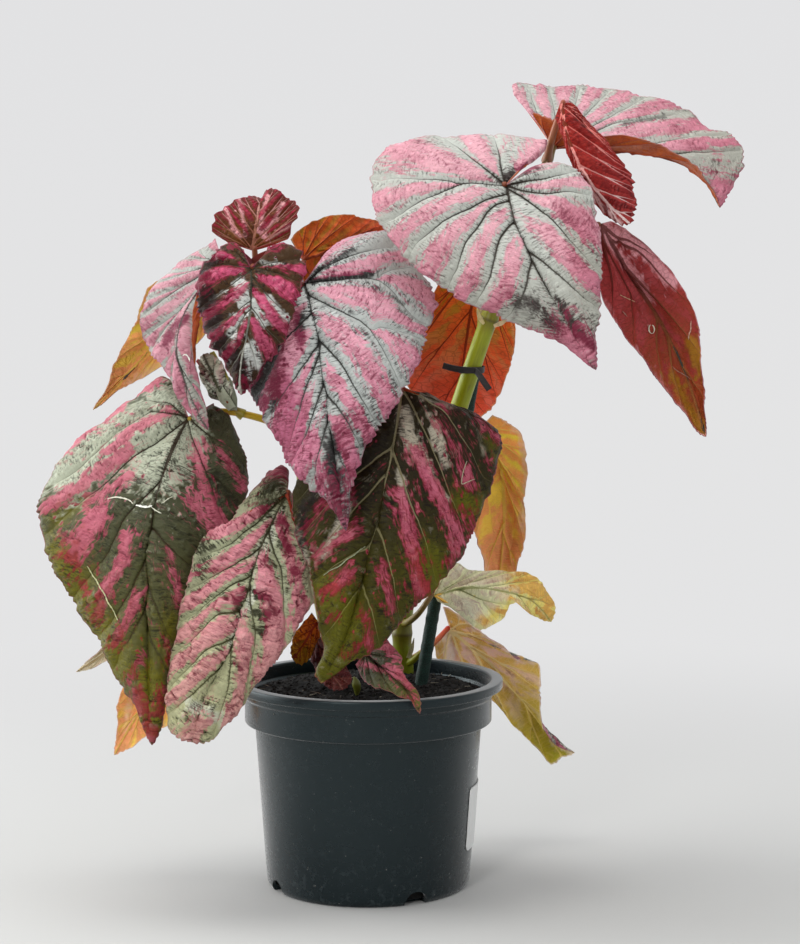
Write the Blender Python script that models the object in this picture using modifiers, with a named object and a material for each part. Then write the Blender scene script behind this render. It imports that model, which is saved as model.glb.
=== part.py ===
# A potted cane begonia: two leafy canes in a round nursery pot, one of them tied to a stake.
# Units are metres, +Z is up, and the origin is the middle of the pot's base, which stands on z = 0.
# The plant faces -Y.

import math

import bmesh
import bpy
import numpy as np
from mathutils import Matrix, Vector
from mathutils.bvhtree import BVHTree

# Driving dimensions of the pot and its filling
RIM_RADIUS = 0.0847
POT_HEIGHT = 0.1305
LIP_HEIGHT = 0.0055
COLLAR_RADIUS = 0.0790
COLLAR_STEP_Z = 0.1200
COLLAR_LOWER_RADIUS = 0.0777
COLLAR_BOTTOM_Z = 0.1035
BODY_TOP_RADIUS = 0.0714
BASE_RADIUS = 0.0640
WALL = 0.0017
FLOOR = 0.0024
POT_SIDES = 56
NOTCH_RADIUS = 0.0076
NOTCH_ANGLES = (28, 118, 208, 298)

SOIL_EDGE_Z = 0.1180
SOIL_MIDDLE_Z = 0.1290
STEM_DEPTH = 0.0250
BUD_DEPTH = 0.0050
GAP = 0.0003

LABEL_BOTTOM_Z = 0.0255
LABEL_TOP_Z = 0.0655
LABEL_START = 67
LABEL_SWEEP = 42
LABEL_THICKNESS = 0.0006

STAKE_RADIUS = 0.0040
TIE_THICKNESS = 0.0010
TIE_WIDTH = 0.0040

BLADE_THICKNESS = 0.0007
TOOTH = 0.0009
SHORT_RIB = 0.010
PETIOLE_RADIUS = 0.0026
PETIOLE_TIP_RADIUS = 0.0017
FAN_START = 0.5
FAN_EASE = 0.85
FULL_PUFF_WIDTH = 0.040
RIPPLE_PER_RIB = 1.3

# The plant is laid out as it is seen from the front. A point is (across, down, depth): across and
# down are places in a picture 800 wide and 944 high, and depth is how far behind the pot's axis the
# point lies, in mm. The eye stands here, in metres, and looks slightly down.
EYE = np.array([0.020, -1.389, 0.377])
EYE_PITCH = math.radians(4.8)
EYE_FOCAL = 2229.0
EYE_MIDDLE = (400.0, 472.0)

# A blade is its midrib, from the petiole to the tip, and its two margins, each from the tip round
# to the lobe beside the petiole. "shows" is the side that faces the eye. A half is drawn by lines
# that run out from the midrib to the margin: "ribs" is how many, and "rows" is how many steps each
# takes. "puff" is how far a half is arched and "wave" how far its edge ripples, in mm. "lean" is
# how much deeper the blade lies for every 100 steps down from its petiole, in mm. Up to FAN_START
# of the margin, from the tip, the lines leave along the midrib, and beyond it all leave the petiole.
LEAVES = {
    "leaf_top_front": {
        "shows": "upper", "ribs": 18, "rows": 3, "puff": 8, "wave": 1.2, "lean": -10,
        "colour": (0.50, 0.30, 0.32),
        "midrib": [(506, 185, -50), (516, 225, -66), (545, 285, -82), (596, 370, -84)],
        "left": [(556, 341, -82), (525, 327, -80), (487, 312, -77), (438, 285, -72), (408, 260, -66),
                 (384, 230, -58), (371, 192, -48), (374, 166, -41), (386, 149, -35), (421, 138, -28),
                 (460, 136, -24), (504, 135, -22), (546, 142, -22), (528, 160, -36)],
        "right": [(597, 334, -82), (600, 300, -78), (602, 262, -72), (598, 224, -65), (590, 190, -58),
                  (575, 168, -54), (553, 163, -52), (528, 170, -50)]},
    "leaf_top_back": {
        "shows": "upper", "ribs": 16, "rows": 2, "puff": 0, "wave": 1.5, "lean": 0,
        "colour": (0.60, 0.36, 0.38),
        "midrib": [(553, 147, 4), (608, 151, 9), (660, 157, 12), (700, 176, 12), (720, 208, 8)],
        "left": [(732, 188, 16), (743, 168, 22), (741, 148, 28), (727, 133, 34), (706, 127, 38),
                 (690, 112, 44), (669, 101, 50), (641, 96, 54), (613, 89, 56), (580, 86, 54),
                 (547, 86, 48), (512, 85, 36), (532, 112, 20)],
        "right": [(713, 190, 4), (702, 174, -2), (685, 158, -7), (664, 147, -11), (628, 136, -13),
                  (603, 135, -13), (578, 128, -12), (555, 120, -10), (533, 113, -4), (544, 132, 0)]},
    "leaf_top_young": {
        "shows": "upper", "ribs": 12, "rows": 2, "puff": 2, "wave": 0.8, "lean": 0,
        "colour": (0.30, 0.04, 0.05),
        "midrib": [(561, 103, -28), (566, 135, -37), (583, 172, -42), (606, 202, -41), (630, 224, -36)],
        "left": [(618, 222, -36), (600, 210, -39), (584, 190, -41), (572, 165, -38), (563, 140, -33),
                 (556, 118, -27)],
        "right": [(636, 204, -32), (633, 183, -29), (624, 165, -27), (610, 146, -25), (594, 128, -24),
                  (583, 115, -24), (571, 103, -25)]},
    "leaf_right_hanging": {
        "shows": "under", "ribs": 14, "rows": 3, "puff": 3, "wave": 1.2, "lean": 18,
        "colour": (0.40, 0.12, 0.13),
        "midrib": [(601, 224, 16), (626, 268, 24), (658, 318, 28), (686, 375, 26), (706, 437, 18)],
        "left": [(696, 429, 14), (684, 413, 12), (664, 388, 10), (641, 356, 8), (622, 332, 8),
                 (606, 306, 8), (595, 272, 8), (592, 240, 10)],
        "right": [(705, 405, 16), (702, 375, 16), (701, 346, 17), (696, 318, 19), (684, 290, 21),
                  (668, 267, 22), (651, 250, 22), (632, 234, 21), (612, 221, 18)]},
    "leaf_behind_stake": {
        "shows": "under", "ribs": 12, "rows": 3, "puff": 3, "wave": 1.0, "lean": 10,
        "colour": (0.50, 0.14, 0.06),
        "midrib": [(479, 262, 42), (471, 310, 58), (463, 365, 64), (455, 428, 60)],
        "left": [(430, 412, 58), (407, 383, 56), (413, 350, 55), (424, 320, 53), (436, 288, 49),
                 (455, 262, 44)],
        "right": [(482, 418, 57), (501, 390, 55), (512, 360, 53), (515, 328, 50), (511, 298, 46),
                  (499, 270, 42)]},
    "leaf_behind_middle": {
        "shows": "under", "ribs": 12, "rows": 2, "puff": 2, "wave": 1.0, "lean": 12,
        "colour": (0.55, 0.20, 0.05),
        "midrib": [(302, 260, 20), (335, 252, 38), (366, 262, 50), (398, 294, 54)],
        "left": [(385, 316, 52), (355, 318, 46), (325, 305, 38), (306, 286, 28), (296, 268, 20)],
        "right": [(403, 264, 54), (394, 238, 54), (383, 223, 53), (362, 217, 51), (340, 215, 47),
                  (320, 218, 41), (303, 227, 33), (291, 240, 24)]},
    "leaf_crown_upright": {
        "shows": "upper", "ribs": 12, "rows": 2, "puff": 1, "wave": 1.5, "lean": 0,
        "colour": (0.36, 0.10, 0.08),
        "midrib": [(252, 250, -36), (256, 226, -35), (259, 207, -28), (262, 199, -16)],
        "left": [(250, 197, -20), (240, 199, -24), (230, 203, -27), (222, 208, -29), (215, 217, -30),
                 (212, 229, -31), (228, 243, -33)],
        "right": [(268, 190, -18), (280, 191, -22), (290, 198, -25), (298, 208, -27), (298, 216, -29),
                  (291, 225, -30), (291, 236, -32), (274, 244, -34)]},
    "leaf_crown_front": {
        "shows": "upper", "ribs": 14, "rows": 3, "puff": 5, "wave": 1.5, "lean": -4,
        "colour": (0.30, 0.12, 0.15),
        "midrib": [(251, 268, -56), (251, 305, -72), (247, 334, -80), (241, 362, -82), (241, 395, -76)],
        "left": [(230, 374, -74), (219, 356, -72), (209, 341, -68), (202, 319, -62), (196, 296, -56),
                 (201, 272, -50), (214, 253, -46), (231, 242, -45), (244, 250, -49)],
        "right": [(253, 382, -74), (262, 370, -73), (276, 351, -71), (289, 329, -69), (296, 307, -66),
                  (301, 285, -62), (305, 266, -57), (300, 250, -53), (284, 244, -51), (266, 252, -53)]},
    "leaf_left_folded": {
        "shows": "upper", "ribs": 14, "rows": 3, "puff": 2, "wave": 1.2, "lean": -5,
        "colour": (0.48, 0.32, 0.33),
        "midrib": [(223, 262, -26), (192, 300, -38), (177, 345, -48), (189, 392, -54), (208, 430, -54)],
        "left": [(194, 417, -50), (181, 405, -47), (172, 382, -43), (161, 364, -38), (149, 352, -32),
                 (141, 324, -26), (148, 294, -20), (168, 273, -14), (192, 254, -10), (216, 240, -12)],
        "right": [(207, 411, -55), (202, 393, -55), (196, 373, -54), (192, 350, -52), (192, 324, -47),
                  (196, 298, -41), (204, 280, -35), (215, 268, -30)]},
    "leaf_left_back": {
        "shows": "under", "ribs": 12, "rows": 2, "puff": 2, "wave": 1.0, "lean": 16,
        "colour": (0.55, 0.26, 0.05),
        "midrib": [(213, 298, 4), (175, 322, 16), (136, 365, 22), (93, 410, 20)],
        "left": [(105, 391, 17), (112, 370, 16), (122, 349, 15), (134, 324, 14), (143, 301, 12),
                 (152, 284, 10), (180, 276, 5)],
        "right": [(109, 398, 19), (125, 387, 18), (144, 377, 17), (163, 366, 15), (186, 352, 12),
                  (206, 334, 7)]},
    "leaf_left_large": {
        "shows": "upper", "ribs": 20, "rows": 3, "puff": 9, "wave": 1.8, "lean": -12,
        "colour": (0.30, 0.24, 0.16),
        "midrib": [(188, 417, -38), (165, 470, -56), (150, 530, -64), (148, 600, -66), (149, 680, -62),
                   (152, 745, -56)],
        "left": [(134, 706, -55), (116, 676, -54), (101, 645, -52), (83, 618, -50), (67, 592, -48),
                 (53, 566, -46), (44, 541, -43), (38, 517, -39), (42, 493, -35), (56, 467, -30),
                 (78, 441, -25), (109, 417, -20), (134, 397, -17), (164, 377, -17), (180, 394, -27)],
        "right": [(161, 728, -57), (168, 697, -57), (176, 655, -57), (188, 612, -51), (205, 575, -48),
                  (225, 540, -42), (244, 502, -36), (248, 466, -31), (241, 447, -29), (230, 418, -27),
                  (212, 404, -29)]},
    "leaf_left_crumpled": {
        "shows": "upper", "ribs": 8, "rows": 2, "puff": 1, "wave": 2.0, "lean": 0,
        "colour": (0.40, 0.44, 0.38),
        "midrib": [(224, 402, -27), (218, 388, -31), (211, 371, -33), (203, 354, -31)],
        "left": [(199, 365, -31), (202, 382, -31), (210, 398, -29)],
        "right": [(216, 356, -30), (226, 370, -29), (233, 385, -27), (232, 400, -25)]},
    "leaf_low_middle": {
        "shows": "upper", "ribs": 18, "rows": 3, "puff": 7, "wave": 1.8, "lean": -8,
        "colour": (0.42, 0.32, 0.26),
        "midrib": [(287, 494, -60), (262, 545, -76), (247, 593, -86), (230, 649, -92), (207, 695, -92),
                   (192, 742, -88)],
        "left": [(170, 731, -86), (166, 715, -85), (168, 683, -83), (175, 638, -80), (182, 604, -77),
                 (190, 573, -77), (200, 544, -73), (220, 530, -68), (240, 508, -60), (261, 480, -50),
                 (284, 466, -42), (288, 480, -48)],
        "right": [(206, 742, -88), (233, 717, -88), (258, 683, -86), (282, 652, -83), (302, 621, -78),
                  (313, 600, -73), (313, 573, -68), (303, 545, -63), (297, 518, -58), (296, 500, -56)]},
    "leaf_front_right": {
        "shows": "upper", "ribs": 20, "rows": 3, "puff": 8, "wave": 1.5, "lean": -4,
        "colour": (0.16, 0.14, 0.07),
        "midrib": [(402, 388, -58), (394, 440, -72), (379, 512, -84), (362, 581, -92), (345, 640, -92),
                   (321, 683, -86)],
        "left": [(317, 674, -86), (323, 655, -87), (320, 632, -88), (316, 600, -88), (310, 574, -86),
                 (300, 546, -82), (293, 520, -76), (293, 494, -68), (306, 468, -58), (332, 440, -50),
                 (362, 410, -48), (388, 389, -52)],
        "right": [(343, 669, -87), (364, 655, -87), (385, 642, -85), (402, 621, -82), (417, 604, -78),
                  (437, 587, -73), (454, 566, -68), (471, 538, -62), (482, 508, -56), (493, 480, -50),
                  (500, 456, -44), (498, 432, -38), (475, 414, -36), (449, 407, -40), (424, 393, -48)]},
    "leaf_center_large": {
        "shows": "upper", "ribs": 20, "rows": 3, "puff": 8, "wave": 1.2, "lean": -6,
        "colour": (0.34, 0.24, 0.24),
        "midrib": [(304, 283, -36), (317, 330, -54), (324, 378, -70), (332, 440, -88), (346, 531, -104)],
        "left": [(338, 516, -100), (325, 501, -96), (305, 483, -88), (288, 463, -80), (277, 440, -73),
                 (265, 420, -66), (256, 404, -60), (248, 391, -54), (249, 360, -46), (262, 326, -38),
                 (280, 300, -31), (292, 278, -27), (300, 270, -29)],
        "right": [(350, 505, -102), (355, 474, -98), (363, 454, -95), (376, 433, -91), (397, 402, -83),
                  (410, 380, -76), (421, 354, -68), (428, 331, -60), (435, 308, -51), (431, 285, -42),
                  (411, 260, -33), (386, 231, -24), (368, 233, -21), (343, 242, -22), (324, 256, -26)]},
    "leaf_right_back": {
        "shows": "under", "ribs": 12, "rows": 3, "puff": 2, "wave": 1.2, "lean": 14,
        "colour": (0.50, 0.28, 0.06),
        "midrib": [(479, 429, 36), (499, 462, 46), (504, 515, 52), (499, 584, 48)],
        "left": [(487, 576, 46), (483, 560, 44), (477, 540, 42), (470, 515, 40), (466, 485, 38),
                 (464, 455, 36), (468, 430, 34)],
        "right": [(514, 576, 44), (520, 556, 43), (526, 528, 42), (524, 500, 41), (527, 470, 39),
                  (524, 442, 36), (512, 425, 33), (493, 415, 32)]},
    "leaf_pale_twisted": {
        "shows": "upper", "ribs": 16, "rows": 2, "puff": 1, "wave": 1.2, "lean": 0,
        "colour": (0.58, 0.58, 0.44),
        "midrib": [(434, 595, -9), (470, 588, -12), (503, 592, -9), (530, 600, 0), (551, 622, 8)],
        "left": [(536, 617, 2), (524, 608, -5), (514, 603, -11), (501, 619, -13), (480, 629, -14),
                 (488, 612, -14), (466, 613, -13), (450, 608, -11), (438, 601, -10)],
        "right": [(555, 608, 10), (550, 594, 12), (539, 581, 11), (526, 573, 9), (508, 571, 6),
                  (490, 571, 3), (469, 570, 0), (454, 563, -3), (438, 582, -7)]},
    "leaf_right_low": {
        "shows": "under", "ribs": 16, "rows": 3, "puff": 2, "wave": 1.2, "lean": 8,
        "colour": (0.56, 0.32, 0.20),
        "midrib": [(450, 629, 90), (494, 668, 99), (534, 714, 101), (562, 757, 94)],
        "left": [(551, 764, 94), (542, 754, 96), (527, 739, 99), (511, 722, 102), (494, 702, 104),
                 (470, 688, 105), (448, 676, 103), (437, 658, 99), (435, 644, 95)],
        "right": [(574, 754, 92), (556, 745, 93), (544, 731, 93), (541, 708, 91), (540, 684, 89),
                  (537, 663, 88), (518, 659, 89), (503, 647, 89), (486, 635, 89), (470, 623, 89),
                  (457, 613, 89), (443, 607, 89)]},
    "leaf_soil_small": {
        "shows": "upper", "ribs": 12, "rows": 2, "puff": 2, "wave": 1.0, "lean": 0,
        "colour": (0.42, 0.18, 0.20),
        "midrib": [(365, 653, -56), (388, 674, -70), (408, 692, -82), (420, 714, -87)],
        "left": [(411, 701, -85), (400, 696, -83), (385, 691, -78), (371, 686, -71), (362, 677, -64),
                 (356, 665, -57)],
        "right": [(421, 700, -86), (414, 686, -81), (404, 675, -76), (402, 662, -70), (396, 650, -64),
                  (387, 640, -59), (374, 643, -56)]},
    "leaf_left_low_back": {
        "shows": "under", "ribs": 10, "rows": 2, "puff": 1, "wave": 1.0, "lean": 14,
        "colour": (0.58, 0.28, 0.06),
        "midrib": [(190, 630, 6), (165, 667, 10), (139, 711, 11), (114, 755, 8)],
        "left": [(117, 729, 7), (117, 706, 6), (125, 684, 5), (140, 655, 4), (162, 630, 4)],
        "right": [(131, 748, 8), (146, 737, 8), (166, 726, 9), (182, 704, 9), (192, 675, 8)]},
    "leaf_left_pale_back": {
        "shows": "under", "ribs": 8, "rows": 2, "puff": 1, "wave": 0.8, "lean": 10,
        "colour": (0.56, 0.52, 0.36),
        "midrib": [(150, 600, 14), (126, 630, 18), (102, 655, 18), (76, 672, 16)],
        "left": [(91, 658, 16), (101, 648, 16), (114, 625, 15), (134, 604, 13)],
        "right": [(88, 670, 17), (99, 665, 17), (114, 658, 17), (132, 648, 16), (148, 622, 14)]},
    "leaf_basal_olive": {
        "shows": "upper", "ribs": 8, "rows": 2, "puff": 1, "wave": 0.8, "lean": 0,
        "colour": (0.42, 0.20, 0.04),
        "midrib": [(318, 622, -22), (309, 635, -25), (301, 648, -26), (293, 660, -24)],
        "left": [(291, 648, -26), (295, 634, -26), (304, 621, -25), (312, 613, -22)],
        "right": [(302, 664, -22), (309, 659, -21), (315, 648, -20), (320, 635, -20)]},
    "leaf_basal_maroon": {
        "shows": "upper", "ribs": 8, "rows": 2, "puff": 1, "wave": 1.0, "lean": 0,
        "colour": (0.12, 0.03, 0.05),
        "midrib": [(316, 634, -10), (321, 655, -18), (331, 673, -28), (343, 690, -40)],
        "left": [(332, 690, -38), (319, 676, -28), (311, 658, -18), (309, 642, -11)],
        "right": [(351, 684, -38), (348, 668, -28), (337, 652, -18), (325, 639, -11)]},
}

# A cane runs up from the soil. "radii" are its radius at each point, in mm, and "shoot" is a stub
# low on its side. Each petiole leaves the cane at the petiole's first point and ends under the blade
# that it is named for.
CANES = {
    "cane_right": {
        "colour": (0.36, 0.50, 0.06),
        "path": [(404, 668, 38), (402, 640, 36), (406, 596, 33), (418, 540, 30), (436, 476, 27),
                 (459, 407, 22), (472, 368, 18), (489, 319, 14), (516, 252, 8), (535, 200, 3),
                 (549, 156, 0)],
        "radii": [6.2, 6.0, 5.9, 5.8, 5.8, 5.7, 5.6, 5.4, 4.6, 4.0, 3.0],
        "shoot": [(404, 665, 37), (413, 660, 30), (422, 651, 25)],
        "shoot_radii": [2.6, 2.3, 1.2],
        "petioles": {
            "leaf_top_front": [(538, 192, 2), (522, 190, -24)],
            "leaf_top_back": [(548, 158, 0)],
            "leaf_top_young": [(547, 161, 0), (550, 146, -8), (557, 122, -13)],
            "leaf_right_hanging": [(520, 242, 7), (556, 226, 6)],
            "leaf_behind_stake": [(481, 334, 16), (481, 300, 30)],
            "leaf_front_right": [(448, 440, 24), (426, 424, -8), (408, 400, -40)],
            "leaf_right_back": [(448, 440, 24), (462, 430, 13), (474, 428, 20)],
            "leaf_pale_twisted": [(403, 624, 35), (411, 620, 12), (422, 609, -6)],
            "leaf_right_low": [(404, 664, 38), (420, 654, 58), (436, 641, 76)]}},
    "cane_left": {
        "colour": (0.40, 0.42, 0.06),
        "path": [(340, 684, 0), (330, 640, -3), (318, 580, -6), (309, 520, -8), (301, 450, -10),
                 (292, 400, -12), (278, 345, -15), (263, 292, -18)],
        "radii": [5.4, 5.2, 5.0, 5.0, 4.9, 4.6, 4.0, 2.8],
        "shoot": [],
        "shoot_radii": [],
        "petioles": {
            "leaf_crown_upright": [(264, 296, -18), (257, 272, -24)],
            "leaf_crown_front": [(264, 296, -18), (254, 284, -36)],
            "leaf_center_large": [(292, 398, -12), (300, 345, -20), (303, 305, -26)],
            "leaf_left_crumpled": [(243, 415, -18), (232, 408, -20)],
            "leaf_left_folded": [(266, 302, -18), (243, 276, -17)],
            "leaf_left_back": [(270, 318, -17), (240, 306, -8)],
            "leaf_behind_middle": [(264, 298, -18), (282, 276, 2)],
            "leaf_left_large": [(299, 434, -11), (266, 420, -16), (230, 412, -20), (206, 412, -26)],
            "leaf_low_middle": [(309, 522, -8), (298, 508, -30)],
            "leaf_left_low_back": [(322, 600, -5), (262, 596, -2), (216, 610, 0)],
            "leaf_left_pale_back": [(312, 550, -7), (240, 556, 4), (184, 578, 8)],
            "leaf_soil_small": [(336, 664, -1), (346, 646, -24), (356, 646, -42)],
            "leaf_basal_olive": [(330, 645, -3), (326, 632, -12)],
            "leaf_basal_maroon": [(334, 662, -2), (326, 648, -6)]}},
}

STAKE = [(420, 690, -9), (478, 350, 42)]
TIE_CENTRE = (472, 371, 0)
TIE_SLACK = 0.0014
BUD = [(357, 694, -42), (357, 689, -43), (356, 683, -44), (354, 677, -45)]
BUD_RADII = (1.0, 2.2, 2.6, 0.6)


def seen(across, down, depth):
    """The point in metres that shows at this place of the front view, at this depth in mm."""
    side = (across - EYE_MIDDLE[0]) / EYE_FOCAL
    rise = (EYE_MIDDLE[1] - down) / EYE_FOCAL
    forward = math.cos(EYE_PITCH) + rise * math.sin(EYE_PITCH)
    upward = rise * math.cos(EYE_PITCH) - math.sin(EYE_PITCH)
    reach = (depth / 1000 - EYE[1]) / forward
    return EYE + reach * np.array([side, forward, upward])


def smooth(points, fractions):
    """Points at these fractions of the length of a smooth curve through the given points."""
    points = np.array(points, float)
    step = np.linalg.norm(np.diff(points, axis=0), axis=1)
    at = np.concatenate([[0.0], np.cumsum(step)])
    slope = np.gradient(points, at, axis=0)
    place = np.array(fractions) * at[-1]
    k = np.clip(np.searchsorted(at, place, side="right") - 1, 0, len(step) - 1)
    t = ((place - at[k]) / step[k])[:, None]
    h = step[k][:, None]
    return ((2 * t**3 - 3 * t**2 + 1) * points[k] + (t**3 - 2 * t**2 + t) * h * slope[k]
            + (3 * t**2 - 2 * t**3) * points[k + 1] + (t**3 - t**2) * h * slope[k + 1])


def clear_scene():
    for found in list(bpy.data.objects):
        bpy.data.objects.remove(found, do_unlink=True)


def new_collection(name):
    made = bpy.data.collections.new(name)
    bpy.context.scene.collection.children.link(made)
    return made


def new_material(name, colour, roughness):
    made = bpy.data.materials.new(name)
    made.use_nodes = True
    shader = made.node_tree.nodes["Principled BSDF"]
    shader.inputs["Base Color"].default_value = (*colour, 1.0)
    shader.inputs["Roughness"].default_value = roughness
    return made


def new_object(name, mesh, collection, material=None):
    made = bpy.data.objects.new(name, mesh)
    collection.objects.link(made)
    if material:
        mesh.materials.append(material)
    return made


def apply_modifiers(thing):
    """Replace an object's mesh by its evaluated one, and drop the modifiers."""
    graph = bpy.context.evaluated_depsgraph_get()
    graph.update()
    mesh = bpy.data.meshes.new_from_object(thing.evaluated_get(graph))
    thing.modifiers.clear()
    thing.data = mesh


def mark_cutter(thing):
    thing.hide_render = True
    thing.display_type = "WIRE"


def cut(thing, cutter):
    modifier = thing.modifiers.new("Cut " + cutter.name, "BOOLEAN")
    modifier.operation = "DIFFERENCE"
    modifier.object = cutter


def turned(name, profile, collection, material=None):
    """A body turned about Z from a profile of (radius, height) that runs down its outer side."""
    mesh = bpy.data.meshes.new(name)
    mesh.from_pydata([(r, 0.0, z) for r, z in profile], [(i, i + 1) for i in range(len(profile) - 1)], [])
    made = new_object(name, mesh, collection, material)
    screw = made.modifiers.new("Turn", "SCREW")
    screw.steps = POT_SIDES
    screw.render_steps = POT_SIDES
    screw.use_merge_vertices = True
    screw.merge_threshold = 0.00002
    return made


def tube(name, points, radii, collection, bevel_resolution=2, material=None):
    """A round rod through the points, with its own radius at each, as a welded mesh."""
    curve = bpy.data.curves.new(name, "CURVE")
    curve.dimensions = "3D"
    curve.bevel_depth = 1.0
    curve.bevel_resolution = bevel_resolution
    curve.use_fill_caps = True
    spline = curve.splines.new("POLY")
    spline.points.add(len(points) - 1)
    for node, place, radius in zip(spline.points, points, radii):
        node.co = (*place, 1.0)
        node.radius = radius
    return curve_to_mesh(name, curve, collection, material)


def curve_to_mesh(name, curve, collection, material=None):
    guide = bpy.data.objects.new(name + "_curve", curve)
    collection.objects.link(guide)
    graph = bpy.context.evaluated_depsgraph_get()
    mesh = bpy.data.meshes.new_from_object(guide.evaluated_get(graph))
    mesh.name = name
    work = bmesh.new()
    work.from_mesh(mesh)
    bmesh.ops.remove_doubles(work, verts=work.verts, dist=0.000005)
    bmesh.ops.recalc_face_normals(work, faces=work.faces)
    work.to_mesh(mesh)
    work.free()
    bpy.data.objects.remove(guide, do_unlink=True)
    return new_object(name, mesh, collection, material)


def union(name, things, collection, material):
    """Join bodies that run into each other into one body."""
    pieces = new_collection(name + "_pieces")
    first = things[0]
    for thing in things[1:]:
        for holder in list(thing.users_collection):
            holder.objects.unlink(thing)
        pieces.objects.link(thing)
    modifier = first.modifiers.new("Join", "BOOLEAN")
    modifier.operation = "UNION"
    modifier.operand_type = "COLLECTION"
    modifier.collection = pieces
    apply_modifiers(first)
    for thing in things[1:]:
        bpy.data.objects.remove(thing, do_unlink=True)
    bpy.data.collections.remove(pieces)
    first.name = name
    first.data.name = name
    first.data.materials.clear()
    first.data.materials.append(material)
    for holder in list(first.users_collection):
        holder.objects.unlink(first)
    collection.objects.link(first)
    return first


def body_radius(z):
    """The pot's outer radius below the collar."""
    return BASE_RADIUS + (BODY_TOP_RADIUS - BASE_RADIUS) * z / COLLAR_BOTTOM_Z


def make_pot(parts, cutters):
    material = new_material("Pot plastic", (0.035, 0.040, 0.044), 0.45)
    lip_bottom = POT_HEIGHT - LIP_HEIGHT
    inner_top = COLLAR_RADIUS - WALL
    profile = [
        (0.0, FLOOR), (body_radius(FLOOR) - WALL - 0.0020, FLOOR), (body_radius(0.006) - WALL, 0.0060),
        (body_radius(COLLAR_BOTTOM_Z) - WALL, COLLAR_BOTTOM_Z),
        (COLLAR_LOWER_RADIUS - WALL, COLLAR_BOTTOM_Z + 0.0040), (COLLAR_LOWER_RADIUS - WALL, COLLAR_STEP_Z),
        (inner_top, COLLAR_STEP_Z + 0.0015), (inner_top, POT_HEIGHT - 0.0010),
        (inner_top + 0.0008, POT_HEIGHT),
        (RIM_RADIUS - 0.0016, POT_HEIGHT), (RIM_RADIUS, POT_HEIGHT - 0.0014),
        (RIM_RADIUS, lip_bottom + 0.0014), (RIM_RADIUS - 0.0014, lip_bottom),
        (COLLAR_RADIUS, lip_bottom), (COLLAR_RADIUS, COLLAR_STEP_Z + 0.0008),
        (COLLAR_LOWER_RADIUS, COLLAR_STEP_Z - 0.0004), (COLLAR_LOWER_RADIUS, COLLAR_BOTTOM_Z + 0.0012),
        (COLLAR_LOWER_RADIUS - 0.0012, COLLAR_BOTTOM_Z), (BODY_TOP_RADIUS, COLLAR_BOTTOM_Z),
        (body_radius(0.0035), 0.0035), (BASE_RADIUS - 0.0010, 0.0009), (BASE_RADIUS - 0.0035, 0.0),
        (0.0, 0.0)]
    pot = turned("pot", profile, parts, material)
    for angle in NOTCH_ANGLES:
        turn = Matrix.Rotation(math.radians(angle - 90), 4, "Z")
        lay = Matrix.Rotation(math.radians(90), 4, "Y")
        work = bmesh.new()
        bmesh.ops.create_cone(work, cap_ends=True, segments=14, radius1=NOTCH_RADIUS,
                              radius2=NOTCH_RADIUS, depth=0.018,
                              matrix=turn @ Matrix.Translation((BASE_RADIUS, 0.0, 0.0007)) @ lay)
        mesh = bpy.data.meshes.new(f"notch_{angle}")
        work.to_mesh(mesh)
        work.free()
        cutter = new_object(f"notch_{angle}", mesh, cutters)
        mark_cutter(cutter)
        cut(pot, cutter)
    return pot


def stem_tip(cover):
    """The middle of a petiole's rounded end, just clear of the blade that it carries."""
    base, under, skin = cover
    wanted = BLADE_THICKNESS / 2 + GAP + PETIOLE_TIP_RADIUS
    reach = wanted
    while skin.find_nearest(base + under * reach)[3] < wanted and reach < 3 * wanted:
        reach += 0.0001
    return np.array(base + under * reach)


def petiole_points(route, cover):
    """A petiole's line and radii, with a round end."""
    tip = stem_tip(cover)
    points = [seen(*place) for place in route] + [tip]
    line = smooth(points, np.linspace(0, 1, 2 + 2 * len(route)))
    radii = list(np.linspace(PETIOLE_RADIUS, PETIOLE_TIP_RADIUS, len(line)))
    ahead = (line[-1] - line[-2]) / np.linalg.norm(line[-1] - line[-2]) * PETIOLE_TIP_RADIUS
    line = np.vstack([line, tip + ahead * 0.7, tip + ahead * 0.96])
    return line, radii + [PETIOLE_TIP_RADIUS * 0.68, PETIOLE_TIP_RADIUS * 0.25]


def cane_line(cane):
    """A cane's smooth line and radii, from inside the soil to its top."""
    points = [seen(*place) for place in cane["path"]]
    foot = points[0] - (points[1] - points[0]) / np.linalg.norm(points[1] - points[0]) * STEM_DEPTH
    points = [foot] + points
    radii = [cane["radii"][0]] + list(cane["radii"])
    count = 2 * len(points)
    fractions = np.linspace(0, 1, count)
    line = smooth(points, fractions)
    thick = smooth([(r / 1000, i * 0.05, 0.0) for i, r in enumerate(radii)], fractions)[:, 0]
    return line, thick


def make_cane(name, cane, covers, parts):
    line, thick = cane_line(cane)
    things = [tube(name + "_stem", line, thick, parts)]
    for leaf, route in cane["petioles"].items():
        points, radii = petiole_points(route, covers[leaf])
        things.append(tube(name + "_" + leaf, points, radii, parts, 1))
    if cane["shoot"]:
        points = [seen(*place) for place in cane["shoot"]]
        things.append(tube(name + "_shoot", points, [r / 1000 for r in cane["shoot_radii"]], parts, 1))
    return union(name, things, parts, new_material(name + " skin", cane["colour"], 0.4))


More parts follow.
